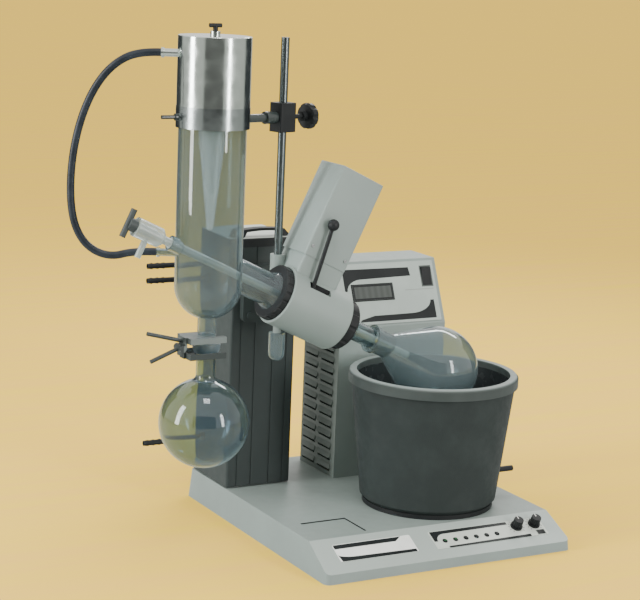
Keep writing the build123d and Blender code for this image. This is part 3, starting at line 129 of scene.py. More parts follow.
# %% [markdown]
# ## Tools for finishes
# Each finish starts from the one physical shader. Small helpers lay a pattern on it: noise mottles colour
# and gloss, grain raises fine bumps, and a slab mask picks a part of a piece by its place, such as the
# ground end of a glass joint. All of them read the object's own coordinates in metres, so a scale of 400
# means grains of about two and a half millimetres.

# %% Finish helpers
EVEN = (1, 1, 1)
GRAIN_DETAIL = 3.0
NOISE_LOW, NOISE_HIGH = 0.3, 0.7
Patch = namedtuple("Patch", "axis start full colour")


def new_finish(name, colour, roughness, metallic=0.0, shine=0.5):
    finish = bpy.data.materials.new(name)
    finish.use_nodes = True
    shader = finish.node_tree.nodes["Principled BSDF"]
    shader.inputs["Base Color"].default_value = (*colour, 1)
    shader.inputs["Roughness"].default_value = roughness
    shader.inputs["Metallic"].default_value = metallic
    shader.inputs["Specular IOR Level"].default_value = shine
    return finish, finish.node_tree, shader


def object_noise(tree, scale, detail=4.0, stretch=EVEN, turn=0.0):
    """Noise in the object's own coordinates, turned about Z and stretched along its axes."""
    coordinates = tree.nodes.new("ShaderNodeTexCoord")
    mapping = tree.nodes.new("ShaderNodeMapping")
    mapping.inputs["Rotation"].default_value = (0, 0, turn)
    mapping.inputs["Scale"].default_value = stretch
    noise = tree.nodes.new("ShaderNodeTexNoise")
    noise.inputs["Scale"].default_value = scale
    noise.inputs["Detail"].default_value = detail
    tree.links.new(coordinates.outputs["Object"], mapping.inputs["Vector"])
    tree.links.new(mapping.outputs["Vector"], noise.inputs["Vector"])
    return noise.outputs["Fac"]


def spread(tree, value, low, high, to_low=0.0, to_high=1.0):
    """Map a value's range onto another, held at both ends."""
    ranger = tree.nodes.new("ShaderNodeMapRange")
    for socket, number in (("From Min", low), ("From Max", high), ("To Min", to_low), ("To Max", to_high)):
        ranger.inputs[socket].default_value = number
    tree.links.new(value, ranger.inputs["Value"])
    return ranger.outputs["Result"]


def slab_mask(tree, axis, start, full):
    """0 before one place along an axis and 1 beyond the other."""
    coordinates = tree.nodes.new("ShaderNodeTexCoord")
    along = tree.nodes.new("ShaderNodeVectorMath")
    along.operation = "DOT_PRODUCT"
    along.inputs[1].default_value = tuple(axis)
    tree.links.new(coordinates.outputs["Object"], along.inputs[0])
    return spread(tree, along.outputs["Value"], start, full)


def column_mask(tree, x, y, start, full):
    """0 near an upright axis and 1 beyond a distance from it."""
    coordinates = tree.nodes.new("ShaderNodeTexCoord")
    moved = tree.nodes.new("ShaderNodeVectorMath")
    moved.operation = "MULTIPLY_ADD"
    moved.inputs[1].default_value = (1, 1, 0)
    moved.inputs[2].default_value = (-x, -y, 0)
    reach = tree.nodes.new("ShaderNodeVectorMath")
    reach.operation = "LENGTH"
    tree.links.new(coordinates.outputs["Object"], moved.inputs[0])
    tree.links.new(moved.outputs["Vector"], reach.inputs[0])
    return spread(tree, reach.outputs["Value"], start, full)


def blend_colours(tree, factor, first, second):
    """Mix two colours or colour sockets by a factor socket."""
    mixer = tree.nodes.new("ShaderNodeMix")
    mixer.data_type = "RGBA"
    tree.links.new(factor, mixer.inputs["Factor"])
    for socket, colour in (("A", first), ("B", second)):
        target = [s for s in mixer.inputs if s.name == socket and s.type == "RGBA"][0]
        if hasattr(colour, "is_linked"):
            tree.links.new(colour, target)
        else:
            target.default_value = (*colour, 1)
    return [s for s in mixer.outputs if s.type == "RGBA"][0]


def mottle(tree, shader, colour, other, clouds, patch=None):
    """Lets another colour through in clouds, and lays a third where the patch is."""
    tone = blend_colours(tree, clouds, colour, other)
    if patch:
        mask = slab_mask(tree, patch.axis, patch.start, patch.full)
        tone = blend_colours(tree, mask, tone, patch.colour)
    tree.links.new(tone, shader.inputs["Base Color"])


def vary_gloss(tree, shader, noise, smoothest, roughest):
    """Lets the roughness wander between two values."""
    gloss = spread(tree, noise, NOISE_LOW, NOISE_HIGH, smoothest, roughest)
    tree.links.new(gloss, shader.inputs["Roughness"])


def add_grain(tree, shader, scale, strength, distance, stretch=EVEN):
    bump = tree.nodes.new("ShaderNodeBump")
    bump.inputs["Strength"].default_value = strength
    bump.inputs["Distance"].default_value = distance
    tree.links.new(object_noise(tree, scale, GRAIN_DETAIL, stretch), bump.inputs["Height"])
    tree.links.new(bump.outputs["Normal"], shader.inputs["Normal"])


print("finish helpers ready")

# %% [markdown]
# ## Floor and light
# A pale yellow paper runs far behind the object, so no horizon shows. Polished metal and glass show what
# stands round them, so the light comes from two tall strip boxes, far left and near right, one box
# overhead, and a long thin one high up behind, which draws a bright line along the flasks' tops. A dark
# flag behind the camera gives the metal its dark middle band between the two bright ones, and two more
# just outside the picture draw dark edges on glass and steel. The flags are hidden from the camera, so
# another view isn't blocked. Yellow paper would also tint every dark face from below, so the object sees
# a grey card just under the paper in its place. An even sky alone would wash all of that out.

# %% Floor and light
FLOOR_YELLOW = (1.0, 0.73, 0.06)
FLOOR_ROSE = (1.0, 0.60, 0.15)
FLOOR_HALF = 60.0
BOUNCE_GREY = (0.48, 0.50, 0.48)
BOUNCE_DEPTH = 0.002
CARD_ROUGHNESS = 0.9
FLAG_BLACK = (0.04, 0.045, 0.05)
FLAG_GREY = (0.14, 0.14, 0.14)
SKY_COLOUR = (1.0, 0.975, 0.93)
SKY_STRENGTH = 1.25
AIM = Vector((-0.15, -0.03, 0.42))


def make_card(name, corners, colour):
    """A flat stage card in one plain colour."""
    mesh = bpy.data.meshes.new(name)
    mesh.from_pydata(corners, [], [(0, 1, 2, 3)])
    card = bpy.data.objects.new(name, mesh)
    bpy.context.collection.objects.link(card)
    paper, tree, shader = new_finish(name + "_paper", colour, CARD_ROUGHNESS, shine=0.0)
    mesh.materials.append(paper)
    return card, tree, shader


def floor_corners(z):
    return [(-FLOOR_HALF, -FLOOR_HALF, z), (FLOOR_HALF, -FLOOR_HALF, z),
            (FLOOR_HALF, FLOOR_HALF, z), (-FLOOR_HALF, FLOOR_HALF, z)]


def make_floor():
    """Yellow paper with faint streaks across the line of sight, and the grey card that the object sees."""
    floor, tree, shader = make_card("floor", floor_corners(0), FLOOR_YELLOW)
    streaks = object_noise(tree, scale=2.0, detail=6.0, stretch=(0.5, 12.0, 1.0), turn=YAW)
    mottle(tree, shader, FLOOR_YELLOW, FLOOR_ROSE, streaks)
    floor.visible_diffuse = False
    floor.visible_glossy = False
    floor.visible_shadow = False
    make_card("bounce_card", floor_corners(-BOUNCE_DEPTH), BOUNCE_GREY)


def make_flag(name, near, far, low, high, colour):
    """An upright card between two places on the floor, hidden from the camera."""
    flag, _, _ = make_card(name, [(*near, low), (*far, low), (*far, high), (*near, high)], colour)
    flag.visible_camera = False
    return flag


def make_side_flag(name, near, far):
    """A dark card that only reflections and glass show."""
    flag = make_flag(name, near, far, low=0.02, high=1.5, colour=FLAG_BLACK)
    flag.visible_diffuse = False
    flag.visible_shadow = False


def make_soft_box(name, place, width, height, watts, colour):
    data = bpy.data.lights.new(name, "AREA")
    data.shape = "RECTANGLE"
    data.size = width
    data.size_y = height
    data.energy = watts
    data.color = colour
    lamp = bpy.data.objects.new(name, data)
    lamp.location = place
    lamp.rotation_euler = (AIM - Vector(place)).to_track_quat("-Z", "Y").to_euler()
    bpy.context.collection.objects.link(lamp)


def make_sky():
    world = bpy.data.worlds.new("sky")
    world.use_nodes = True
    background = world.node_tree.nodes["Background"]
    background.inputs["Color"].default_value = (*SKY_COLOUR, 1)
    background.inputs["Strength"].default_value = SKY_STRENGTH
    bpy.context.scene.world = world


make_floor()
make_side_flag("right_flag", near=(1.9, -0.3), far=(2.6, 2.2))
make_side_flag("left_flag", near=(-1.49, 1.63), far=(0.33, 3.47))
make_flag("dark_flag", near=(-3.5, -2.2), far=(0.0, -3.9), low=0.1, high=2.1, colour=FLAG_GREY)
make_soft_box("left_strip", (-2.4, 0.2, 1.0), width=0.5, height=1.7, watts=50, colour=(1.0, 0.985, 0.96))
make_soft_box("right_strip", (0.75, -2.6, 1.0), width=0.35, height=1.5, watts=32, colour=(1.0, 0.98, 0.95))
make_soft_box("top_box", (-0.5, -0.9, 2.5), width=0.6, height=0.6, watts=14, colour=(1.0, 0.98, 0.95))
make_soft_box("back_strip", (1.25, 1.15, 1.75), width=1.5, height=0.18, watts=20, colour=(1.0, 0.99, 0.97))
make_sky()
print("floor, bounce card, three flags, four boxes and a sky")

# %% [markdown]
# ## Painted finishes
# The housings are sheet metal with a satin stove enamel in a cool grey, which has a fine orange peel and
# is a little darker in clouds. The base's front slope is painted a paler grey, as painted light where the
# lamps strike it more. The column's left wall, which carries the louvres, is painted darker, as painted
# shade for that shaded side. Both are picked by place. The tower is the same enamel in black over an
# extruded profile. A flat colour would look like a toy, so each finish varies in colour, in gloss and in
# relief.

# %% Enamels
PALE = (0.270, 0.325, 0.305)
PALE_SHADE = (0.238, 0.288, 0.270)
# Painted light: the base's front slope is painted paler than the deck.
SLOPE_PAINTED_LIGHT = (0.380, 0.440, 0.415)
# Painted shade: the column's left wall is painted darker than its front.
LOUVRE_WALL_SHADE = (0.185, 0.220, 0.200)
BLACK = (0.032, 0.042, 0.041)
BLACK_SHADE = (0.041, 0.053, 0.052)
ENAMEL_ROUGHNESS = 0.42
MASK_EDGE = 0.0002
SLOPE_LEVEL = BASE_PANEL.origin.dot(BASE_PANEL.normal)
SLOPE_LIGHT_PATCH = Patch(BASE_PANEL.normal, SLOPE_LEVEL - 3 * MASK_EDGE, SLOPE_LEVEL - MASK_EDGE, SLOPE_PAINTED_LIGHT)
LOUVRE_SHADE_PATCH = Patch(axis=(-1, 0, 0), start=0.0178, full=0.0184, colour=LOUVRE_WALL_SHADE)


def enamel(name, colour, shade, peel, shine=0.5, patch=None):
    """Stove enamel: slow mottling in colour and gloss over a fine orange peel."""
    finish, tree, shader = new_finish(name, colour, ENAMEL_ROUGHNESS, shine=shine)
    clouds = spread(tree, object_noise(tree, scale=9.0, detail=5.0), low=0.35, high=0.7)
    mottle(tree, shader, colour, shade, clouds, patch)
    noise = object_noise(tree, scale=60.0)
    vary_gloss(tree, shader, noise, ENAMEL_ROUGHNESS - 0.05, ENAMEL_ROUGHNESS + 0.07)
    add_grain(tree, shader, scale=900.0, strength=peel, distance=0.0002)
    return finish


pale_enamel = enamel("pale_enamel", PALE, PALE_SHADE, peel=0.25)
base_enamel_lit_slope = enamel("base_enamel_lit_slope", PALE, PALE_SHADE, peel=0.25, patch=SLOPE_LIGHT_PATCH)
column_enamel_shaded_side = enamel("column_enamel_shaded_side", PALE, PALE_SHADE, peel=0.25, patch=LOUVRE_SHADE_PATCH)
black_enamel = enamel("black_enamel", BLACK, BLACK_SHADE, peel=0.45, shine=0.3)
print("enamels: pale, base, column and black")

# %% [markdown]
# ## Plastics
# Knobs, nuts and caps are moulded in black plastic with a fine spark-eroded grain, and dust lies a shade
# lighter on them in patches. The top face of the tower's black cap is painted pale, a painted highlight.
# The bath's wall is a coarser black with a dark rim whose top is painted mid grey, a painted highlight,
# and the bath's liner is painted near black, as painted shade for the inside of the pot. A glossy shader
# alone would miss the grain, which is what tells plastic from paint at a glance.

# %% Plastics
DUST_GAIN, DUST_LIFT = 1.1, 0.005
# Painted highlight: the top face of the tower's black cap is painted pale.
CAP_TOP_HIGHLIGHT = Patch(axis=(0, 0, 1), start=0.4404, full=0.4408, colour=(0.55, 0.60, 0.55))
# Painted highlight: the bath rim's top is painted mid grey over its dark colour.
RIM_TOP_HIGHLIGHT = Patch(axis=(0, 0, 1), start=0.2500, full=0.2518, colour=(0.20, 0.24, 0.23))


def plastic(name, colour, roughness, grain, grain_scale=1500.0, shine=0.25, patch=None):
    """Moulded plastic with an eroded grain and slightly dusty patches."""
    finish, tree, shader = new_finish(name, colour, roughness, shine=shine)
    dust = tuple(min(1.0, DUST_GAIN * channel + DUST_LIFT) for channel in colour)
    clouds = spread(tree, object_noise(tree, scale=25.0, detail=6.0), low=0.45, high=0.75)
    mottle(tree, shader, colour, dust, clouds, patch)
    vary_gloss(tree, shader, object_noise(tree, scale=90.0), roughness - 0.06, roughness + 0.08)
    add_grain(tree, shader, grain_scale, grain, distance=0.00015)
    return finish


black_plastic = plastic("black_plastic", (0.012, 0.014, 0.015), roughness=0.45, grain=0.4)
cap_plastic_lit_top = plastic("cap_plastic_lit_top", (0.014, 0.016, 0.017), roughness=0.45, grain=0.4, patch=CAP_TOP_HIGHLIGHT)
key_plastic = plastic("key_plastic", (0.055, 0.066, 0.066), roughness=0.45, grain=0.3)
grey_plastic = plastic("grey_plastic", (0.085, 0.100, 0.095), roughness=0.45, grain=0.3)
rim_plastic_lit_top = plastic("rim_plastic_lit_top", (0.048, 0.060, 0.057), roughness=0.45, grain=0.3, patch=RIM_TOP_HIGHLIGHT)
white_plastic = plastic("white_plastic", (0.86, 0.89, 0.86), roughness=0.30, grain=0.1)
panel_print = plastic("panel_print", (0.42, 0.48, 0.45), roughness=0.38, grain=0.15)
strip_print = plastic("strip_print", (0.56, 0.61, 0.56), roughness=0.38, grain=0.15)
lamp_plastic = plastic("lamp_plastic", (0.020, 0.025, 0.025), roughness=0.25, grain=0.1)
bath_enamel = plastic("bath_enamel", (0.028, 0.036, 0.035), roughness=0.60, grain=1.0, grain_scale=620.0,
                      shine=0.2)
# Painted shade: the bath's liner is painted near black for the shade inside the pot.
liner_painted_shade = plastic("liner_painted_shade", (0.018, 0.022, 0.023), roughness=0.24, grain=0.3)
print("plastics: eleven kinds")

# %% [markdown]
# ## Metals
# The condenser's can and the clamp's ring are polished, and the pulleys are turned aluminium. The clip's
# upper jaw is brushed steel with its handle dipped in black, and the lower jaw is enamelled. Brushing is
# a noise squeezed along one or two axes, which breaks the highlight into fine lines.

# %% Metals
LINES_UP = (30, 30, 1)
RINGS_ABOUT_X = (30, 1, 1)
RINGS_ABOUT_Y = (1, 30, 1)
RINGS_ABOUT_Z = (1, 1, 30)
CLIP_HANDLE = 0.3665
DIP_EDGE = 0.001
CLAMP_RING_RADIUS = 0.053
BRUSHED_SMOOTH, BRUSHED_ROUGH = 0.7, 1.4


def metal(name, colour, roughness, stretch, scratch):
    finish, tree, shader = new_finish(name, colour, roughness, metallic=1.0)
    lines = object_noise(tree, scale=60.0, detail=6.0, stretch=stretch)
    vary_gloss(tree, shader, lines, roughness * BRUSHED_SMOOTH, roughness * BRUSHED_ROUGH)
    add_grain(tree, shader, scale=60.0, strength=scratch, distance=0.0001, stretch=stretch)
    return finish


def part_black(finish, mask_of):
    """Turns a metal into a black moulding where the mask is 1."""
    tree = finish.node_tree
    shader = tree.nodes["Principled BSDF"]
    steel = tuple(shader.inputs["Base Color"].default_value)[:3]
    mask = mask_of(tree)
    tree.links.new(blend_colours(tree, mask, steel, BLACK), shader.inputs["Base Color"])
    tree.links.new(spread(tree, mask, 0.0, 1.0, 1.0, 0.0), shader.inputs["Metallic"])


def handle_mask(tree):
    """1 on the upper jaw's handle, which lies left of the jaw."""
    return slab_mask(tree, (-1, 0, 0), CLIP_HANDLE, CLIP_HANDLE + DIP_EDGE)


def arm_mask(tree):
    """1 on the clamp's arm and screw, outside its ring."""
    start, full = CLAMP_RING_RADIUS - MASK_EDGE, CLAMP_RING_RADIUS + MASK_EDGE
    return column_mask(tree, CONDENSER_X, CONDENSER_Y, start, full)


polished_steel = metal("polished_steel", (0.58, 0.64, 0.61), 0.17, EVEN, scratch=0.02)
rod_steel = metal("rod_steel", (0.15, 0.175, 0.18), 0.24, LINES_UP, scratch=0.05)
plain_steel = metal("plain_steel", (0.50, 0.52, 0.51), 0.30, RINGS_ABOUT_Z, scratch=0.10)
clip_steel = metal("clip_steel", (0.17, 0.195, 0.19), 0.38, RINGS_ABOUT_Z, scratch=0.10)
clamp_steel = metal("clamp_steel", (0.34, 0.38, 0.38), 0.20, EVEN, scratch=0.01)
part_black(clip_steel, handle_mask)
part_black(clamp_steel, arm_mask)
plain_aluminium = metal("plain_aluminium", (0.64, 0.65, 0.65), 0.34, RINGS_ABOUT_X, scratch=0.10)
bearing_bronze = metal("bearing_bronze", (0.62, 0.44, 0.20), 0.30, RINGS_ABOUT_Y, scratch=0.08)
print("metals: seven kinds")

# %% [markdown]
# ## Glass and rubber
# The glassware has real walls in the frame, an outside and an inside surface, so a plain dielectric
# shader bends light as the real ware does. A cool tint takes the paper's yellow out of what shows through
# it. A small share of most pieces scatters light as a thin haze, and half of the feed tube does, because
# that tube is milky. Joint ends are ground, which a mask along the joint's axis turns matt. The cold
# finger is frosted and nearly white, a painted highlight for the bright edges of its cone. Glass pieces
# cast no shadow of their own, because a path tracer would otherwise make their shadow as dark as a solid's.

# %% Glass and rubber
GLASS_INDEX = 1.47
GROUND_ROUGHNESS = 0.42
BLOOM_GAIN, BLOOM_LIFT = 1.7, 0.01
TINT = (0.40, 0.49, 0.51)
Ground = namedtuple("Ground", "axis start full")
HEAD_ALONG = HEAD_PLACE.dot(DRIVE_AXIS)
NECK_START, NECK_FULL = 0.164, 0.160
JOINT_BELOW_JACKET = Ground(axis=(0, 0, -1), start=-0.340, full=-0.334)
JOINT_ON_RECEIVER = Ground(axis=(0, 0, 1), start=0.306, full=0.310)
JOINT_ON_BOILING_FLASK = Ground(-DRIVE_AXIS, -(HEAD_ALONG + NECK_START), -(HEAD_ALONG + NECK_FULL))


def borosilicate(name, tint, roughness=0.0, clear_share=1.0, ground=None):
    """Drawn glass with faint waves, matt from where the ground joint starts."""
    finish, tree, shader = new_finish(name, tint, roughness)
    shader.inputs["Transmission Weight"].default_value = clear_share
    shader.inputs["IOR"].default_value = GLASS_INDEX
    if ground:
        mask = slab_mask(tree, ground.axis, ground.start, ground.full)
        matt = spread(tree, mask, 0.0, 1.0, roughness, GROUND_ROUGHNESS)
        tree.links.new(matt, shader.inputs["Roughness"])
    add_grain(tree, shader, scale=18.0, strength=0.05, distance=0.0015)
    return finish


def rubber(name, colour, roughness):
    """Rubber with a pale bloom in patches."""
    finish, tree, shader = new_finish(name, colour, roughness, shine=0.35)
    bloom = tuple(channel * BLOOM_GAIN + BLOOM_LIFT for channel in colour)
    clouds = spread(tree, object_noise(tree, scale=40.0, detail=6.0), low=0.4, high=0.75)
    mottle(tree, shader, colour, bloom, clouds)
    add_grain(tree, shader, scale=1200.0, strength=0.35, distance=0.0002)
    return finish


clear_glass = borosilicate("clear_glass", TINT)
jacket_glass = borosilicate("jacket_glass", (0.34, 0.42, 0.45), clear_share=0.90, ground=JOINT_BELOW_JACKET)
boiling_glass = borosilicate("boiling_glass", TINT, clear_share=0.88, ground=JOINT_ON_BOILING_FLASK)
receiver_glass = borosilicate("receiver_glass", (0.36, 0.47, 0.53), clear_share=0.96,
                              ground=JOINT_ON_RECEIVER)
milky_glass = borosilicate("milky_glass", (0.46, 0.52, 0.50), roughness=0.25, clear_share=0.50)
vial_glass = borosilicate("vial_glass", (0.30, 0.39, 0.43), roughness=0.08, clear_share=0.82)
# Painted highlight: the cold finger is nearly white, so its cone's edges show bright.
finger_highlight_glass = borosilicate("finger_highlight_glass", (0.84, 0.86, 0.85), roughness=0.22, clear_share=0.80)
black_rubber = rubber("black_rubber", (0.020, 0.020, 0.021), 0.6)
grey_rubber = rubber("grey_rubber", (0.009, 0.014, 0.021), 0.42)
print("seven glasses and two rubbers")

# %% [markdown]
# ## The display
# The display is a smoked acrylic window over a grey liquid crystal, whose unlit cells show as faint
# upright bars. A second layer of glass could stand before modelled cells, but at this size a soft wave
# between two near greys on the window itself reads the same.

# %% Display window
CELL_DARK = (0.060, 0.070, 0.066)
CELL_LIGHT = (0.074, 0.086, 0.080)
CELL_WAVES = 28.0


def smoked_window(name):
    """Glossy acrylic with soft upright bars in two near greys."""
    finish, tree, shader = new_finish(name, CELL_DARK, roughness=0.12)
    coordinates = tree.nodes.new("ShaderNodeTexCoord")
    wave = tree.nodes.new("ShaderNodeTexWave")
    wave.bands_direction = "X"
    wave.inputs["Scale"].default_value = CELL_WAVES
    tree.links.new(coordinates.outputs["Object"], wave.inputs["Vector"])
    mottle(tree, shader, CELL_DARK, CELL_LIGHT, wave.outputs["Fac"])
    return finish


dark_window = smoked_window("dark_window")
print("window ready")

# %% [markdown]
# ## Dressing the frame's own pieces
# Each node of the frame keeps its shape and takes a finish. The table says which, and a loop gives it
# out. A second loop stops the glass pieces from casting shadows.

# %% Finishes on the frame's pieces
GLASS_PIECES = ("condenser_jacket", "cold_finger", "evaporating_flask", "receiving_flask", "vapour_duct",
                "feed_tube", "drip_vial")
FINISHES = {
    pale_enamel: ("head_housing", "motor_cover"),
    base_enamel_lit_slope: ("base_shell",),
    column_enamel_shaded_side: ("column_case",),
    black_enamel: ("tower_sleeve", "head_bracket", "clip_lower"),
    black_plastic: ("tower_handle", "hose_spigots", "union_nut", "clip_ring", "head_lever", "boss_head",
                    "clamp_knob", "vent_key", "heat_knob", "speed_knob", "base_rocker", "panel_rocker",
                    "bath_foot", "bath_drain", "control_pots"),
    cap_plastic_lit_top: ("tower_cap",),
    key_plastic: ("feed_key",),
    bath_enamel: ("bath_pot",),
    rim_plastic_lit_top: ("bath_rim",),
    liner_painted_shade: ("bath_liner",),
    grey_plastic: ("switch_frames",),
    panel_print: ("column_fascia",),
    strip_print: ("control_strip",),
    white_plastic: ("nameplate",),
    lamp_plastic: ("indicator_lamps",),
    dark_window: ("display_window",),
    clear_glass: ("vapour_duct",),
    vial_glass: ("drip_vial",),
    milky_glass: ("feed_tube",),
    jacket_glass: ("condenser_jacket",),
    boiling_glass: ("evaporating_flask",),
    receiver_glass: ("receiving_flask",),
    finger_highlight_glass: ("cold_finger",),
    polished_steel: ("condenser_cap",),
    rod_steel: ("support_rod",),
    clip_steel: ("clip_upper",),
    clamp_steel: ("condenser_clamp",),
    plain_steel: ("bath_heater", "strut_cylinder", "strut_rod", "drive_shaft", "motor_body"),
    plain_aluminium: ("lift_mast", "driven_pulley", "motor_pulley", "bottom_plate"),
    bearing_bronze: ("shaft_bushes",),
    black_rubber: ("rubber_feet", "drive_belt", "shaft_seal", "condenser_gasket"),
}


def dress(node, finish):
    """Gives every face of a node one finish."""
    for material_slot in nodes[node].material_slots:
        material_slot.material = finish


for finish, names in FINISHES.items():
    for name in names:
        dress(name, finish)
for name in GLASS_PIECES:
    nodes[name].visible_shadow = False
print("dressed", sum(len(names) for names in FINISHES.values()), "nodes")

# %% [markdown]
# ## Prints on the panels
# Dark graphic bands are screen printed on the fascia, on the control strip and on the name plate. Each is
# a film of ink a tenth of a millimetre thick that lies on its panel. A painted image could hold them too,
# but outlines given as points stay sharp at any size.

# %% Helpers for prints
INK_THICKNESS = 0.0001


def panel_place(panel, x, up, out):
    """A place on a leaning panel, in metres along X, up its slope and off its surface."""
    return panel.origin + Vector((x, 0, 0)) + up * panel.rise + out * panel.normal


def top_of(node, panel):
    """How far a node stands off the panel's plane."""
    piece = nodes[node]
    return max((piece.matrix_world @ v.co - panel.origin).dot(panel.normal) for v in piece.data.vertices)


def add_mesh(name, points, faces, finish, body, smooth=False):
    mesh = bpy.data.meshes.new(name)
    mesh.from_pydata([tuple(p) for p in points], [], faces)
    mesh.validate()
    if smooth:
        mesh.shade_smooth()
    piece = bpy.data.objects.new(name, mesh)
    bpy.context.collection.objects.link(piece)
    mesh.materials.append(finish)
    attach(piece, body)
    return piece


def lay_print(name, panel, level, outline_mm, finish, body="base"):
    """A film of ink with the given outline, in millimetres across and up the panel."""
    count = len(outline_mm)
    points = [panel_place(panel, x / 1000, up / 1000, out) for out in (level, level + INK_THICKNESS)
              for x, up in outline_mm]
    faces = [tuple(range(count - 1, -1, -1)), tuple(range(count, 2 * count))]
    faces += [(i, (i + 1) % count, count + (i + 1) % count, count + i) for i in range(count)]
    return add_mesh(name, points, faces, finish, body)


def arc(middle, radii, start_deg, end_deg, steps=10):
    """Points on an ellipse's arc."""
    points = []
    for i in range(steps + 1):
        turn = math.radians(start_deg + (end_deg - start_deg) * i / steps)
        points.append((middle[0] + radii[0] * math.cos(turn), middle[1] + radii[1] * math.sin(turn)))
    return points


def rectangle(left, right, low, high):
    return [(left, low), (right, low), (right, high), (left, high)]


def lay_frame(name, panel, level, middle, half, wall, finish):
    """A rectangular printed outline in four strips."""
    x, up = middle
    across, rise = half
    sides = {"left": (x - across - wall, x - across, up - rise - wall, up + rise + wall),
             "right": (x + across, x + across + wall, up - rise - wall, up + rise + wall),
             "low": (x - across, x + across, up - rise - wall, up - rise),
             "high": (x - across, x + across, up + rise, up + rise + wall)}
    for side, edges in sides.items():
        lay_print(name + "_" + side, panel, level, rectangle(*edges), finish)


ink = plastic("black_ink", (0.010, 0.013, 0.014), roughness=0.40, grain=0.1)
pale_ink = plastic("pale_ink", (0.80, 0.82, 0.78), roughness=0.35, grain=0.1)
grey_ink = plastic("grey_ink", (0.30, 0.33, 0.31), roughness=0.35, grain=0.1)
print("print helpers and three inks ready")

# %% Bands on the fascia, in millimetres across and up it
DISPLAY_MIDDLE = (51.5, 56)
UPPER_BAND = [(124, 94)] + arc((10, 88), (9, 7), 90, 180) + [(1, 60), (4, 59)]
UPPER_BAND += arc((34, 60), (28, 18), 180, 90) + [(126, 80)]
LOWER_BAND = [(19, 8), (163, 8), (163, 38), (158, 38)] + arc((118, 38), (38, 20), 0, -90)
LOWER_BAND += [(48, 17.5), (24, 12)]
fascia_top = top_of("column_fascia", COLUMN_PANEL)
window_top = top_of("display_window", COLUMN_PANEL)
lay_print("fascia_upper_band", COLUMN_PANEL, fascia_top, UPPER_BAND, ink)
lay_print("fascia_lower_band", COLUMN_PANEL, fascia_top, LOWER_BAND, ink)
lay_print("fascia_rule", COLUMN_PANEL, fascia_top, rectangle(112, 166, 56, 57.2), grey_ink)
lay_frame("display_edge", COLUMN_PANEL, fascia_top, DISPLAY_MIDDLE, half=(37.2, 12.7), wall=1.6, finish=ink)
lay_frame("display_mask", COLUMN_PANEL, window_top, DISPLAY_MIDDLE, half=(33.8, 9.6), wall=2.6, finish=ink)
print("fascia printed at", round(fascia_top * 1000, 2), "mm, window at", round(window_top * 1000, 2), "mm")

# %% Bands on the control strip and the name plate, in millimetres across and up the slope
LAMP_COUNT = 6
LAMP_FIRST, LAMP_STEP, LAMP_UP = 4.5, 18.4, 35.5
SURROUND = (4.2, 4.2)
KNOBS = (("heat_knob", "heat_control", 136.0), ("speed_knob", "speed_control", 168.0))
KNOB_UP = 43.6
TICK_COUNT = 11
TICK_FIRST_DEG, TICK_STEP_DEG = -135, 27
TICK_INNER, TICK_OUTER, TICK_HALF = 11.0, 13.6, 0.35
STRIP_UPPER = [(123, 56), (-13, 56), (-13, 36), (-8, 36)] + arc((8, 36), (15, 13.5), 180, 90) + [(123, 50.5)]
STRIP_LOWER = [(6, 20.8), (152, 20.8), (152, 26), (6, 24.2)]
PLATE_UPPER = [(-176, 48), (-74, 48), (-63, 56), (-176, 56)]
PLATE_LOWER = arc((-146, 37), (30, 7), 180, 270) + [(-49, 28.5), (-49, 23), (-174, 23)]


def lamp_x(number):
    return LAMP_FIRST + LAMP_STEP * number


def tick_outline(x, turn):
    """A short line that points at a knob's middle, for an angle from straight up."""
    along = Vector((math.sin(turn), math.cos(turn)))
    across = Vector((math.cos(turn), -math.sin(turn)))
    ends = [along * TICK_INNER - across * TICK_HALF, along * TICK_OUTER - across * TICK_HALF,
            along * TICK_OUTER + across * TICK_HALF, along * TICK_INNER + across * TICK_HALF]
    return [(x + p.x, KNOB_UP + p.y) for p in reversed(ends)]


strip_top = top_of("control_strip", BASE_PANEL)
plate_top = top_of("nameplate", BASE_PANEL)
lay_print("strip_upper_band", BASE_PANEL, strip_top, STRIP_UPPER, ink)
lay_print("strip_lower_band", BASE_PANEL, strip_top, STRIP_LOWER, ink)
for number in range(LAMP_COUNT):
    surround = arc((lamp_x(number), LAMP_UP), SURROUND, 0, 330, steps=11)
    lay_print("lamp_surround_%d" % number, BASE_PANEL, strip_top, surround, ink)
for _, _, x in KNOBS:
    for number in range(TICK_COUNT):
        turn = math.radians(TICK_FIRST_DEG + TICK_STEP_DEG * number)
        lay_print("tick_%d_%d" % (x, number), BASE_PANEL, strip_top, tick_outline(x, turn), ink)
lay_print("plate_upper_band", BASE_PANEL, plate_top, PLATE_UPPER, ink)
lay_print("plate_lower_band", BASE_PANEL, plate_top, PLATE_LOWER, ink)
print("strip and plate printed")

# %% [markdown]
# ## Painted shade in the slot and the recess
# A thin black strip on the back wall of the lever's slot paints the shade inside the slot. Dark strips
# along the far and right edges of the recess in the deck paint the shade there. Both are thin, but they
# draw the dark lines that make the slot and the recess readable from afar.

# %% Painted shade in the slot and along the recess
SLOT_SHADE_CORNER = head_place(0.0262, -0.0278, 0.0200)
SLOT_SHADE_LENGTH, SLOT_SHADE_THICKNESS, SLOT_SHADE_HEIGHT = 0.0376, 0.00025, 0.0152
TRAY_LEFT, TRAY_RIGHT = -0.180, -0.104
TRAY_NEAR, TRAY_FAR = -0.159, -0.093
TRAY_FLOOR = 0.0445
EDGE_SHADE_WIDTH, EDGE_SHADE_HEIGHT = 0.0012, 0.0013


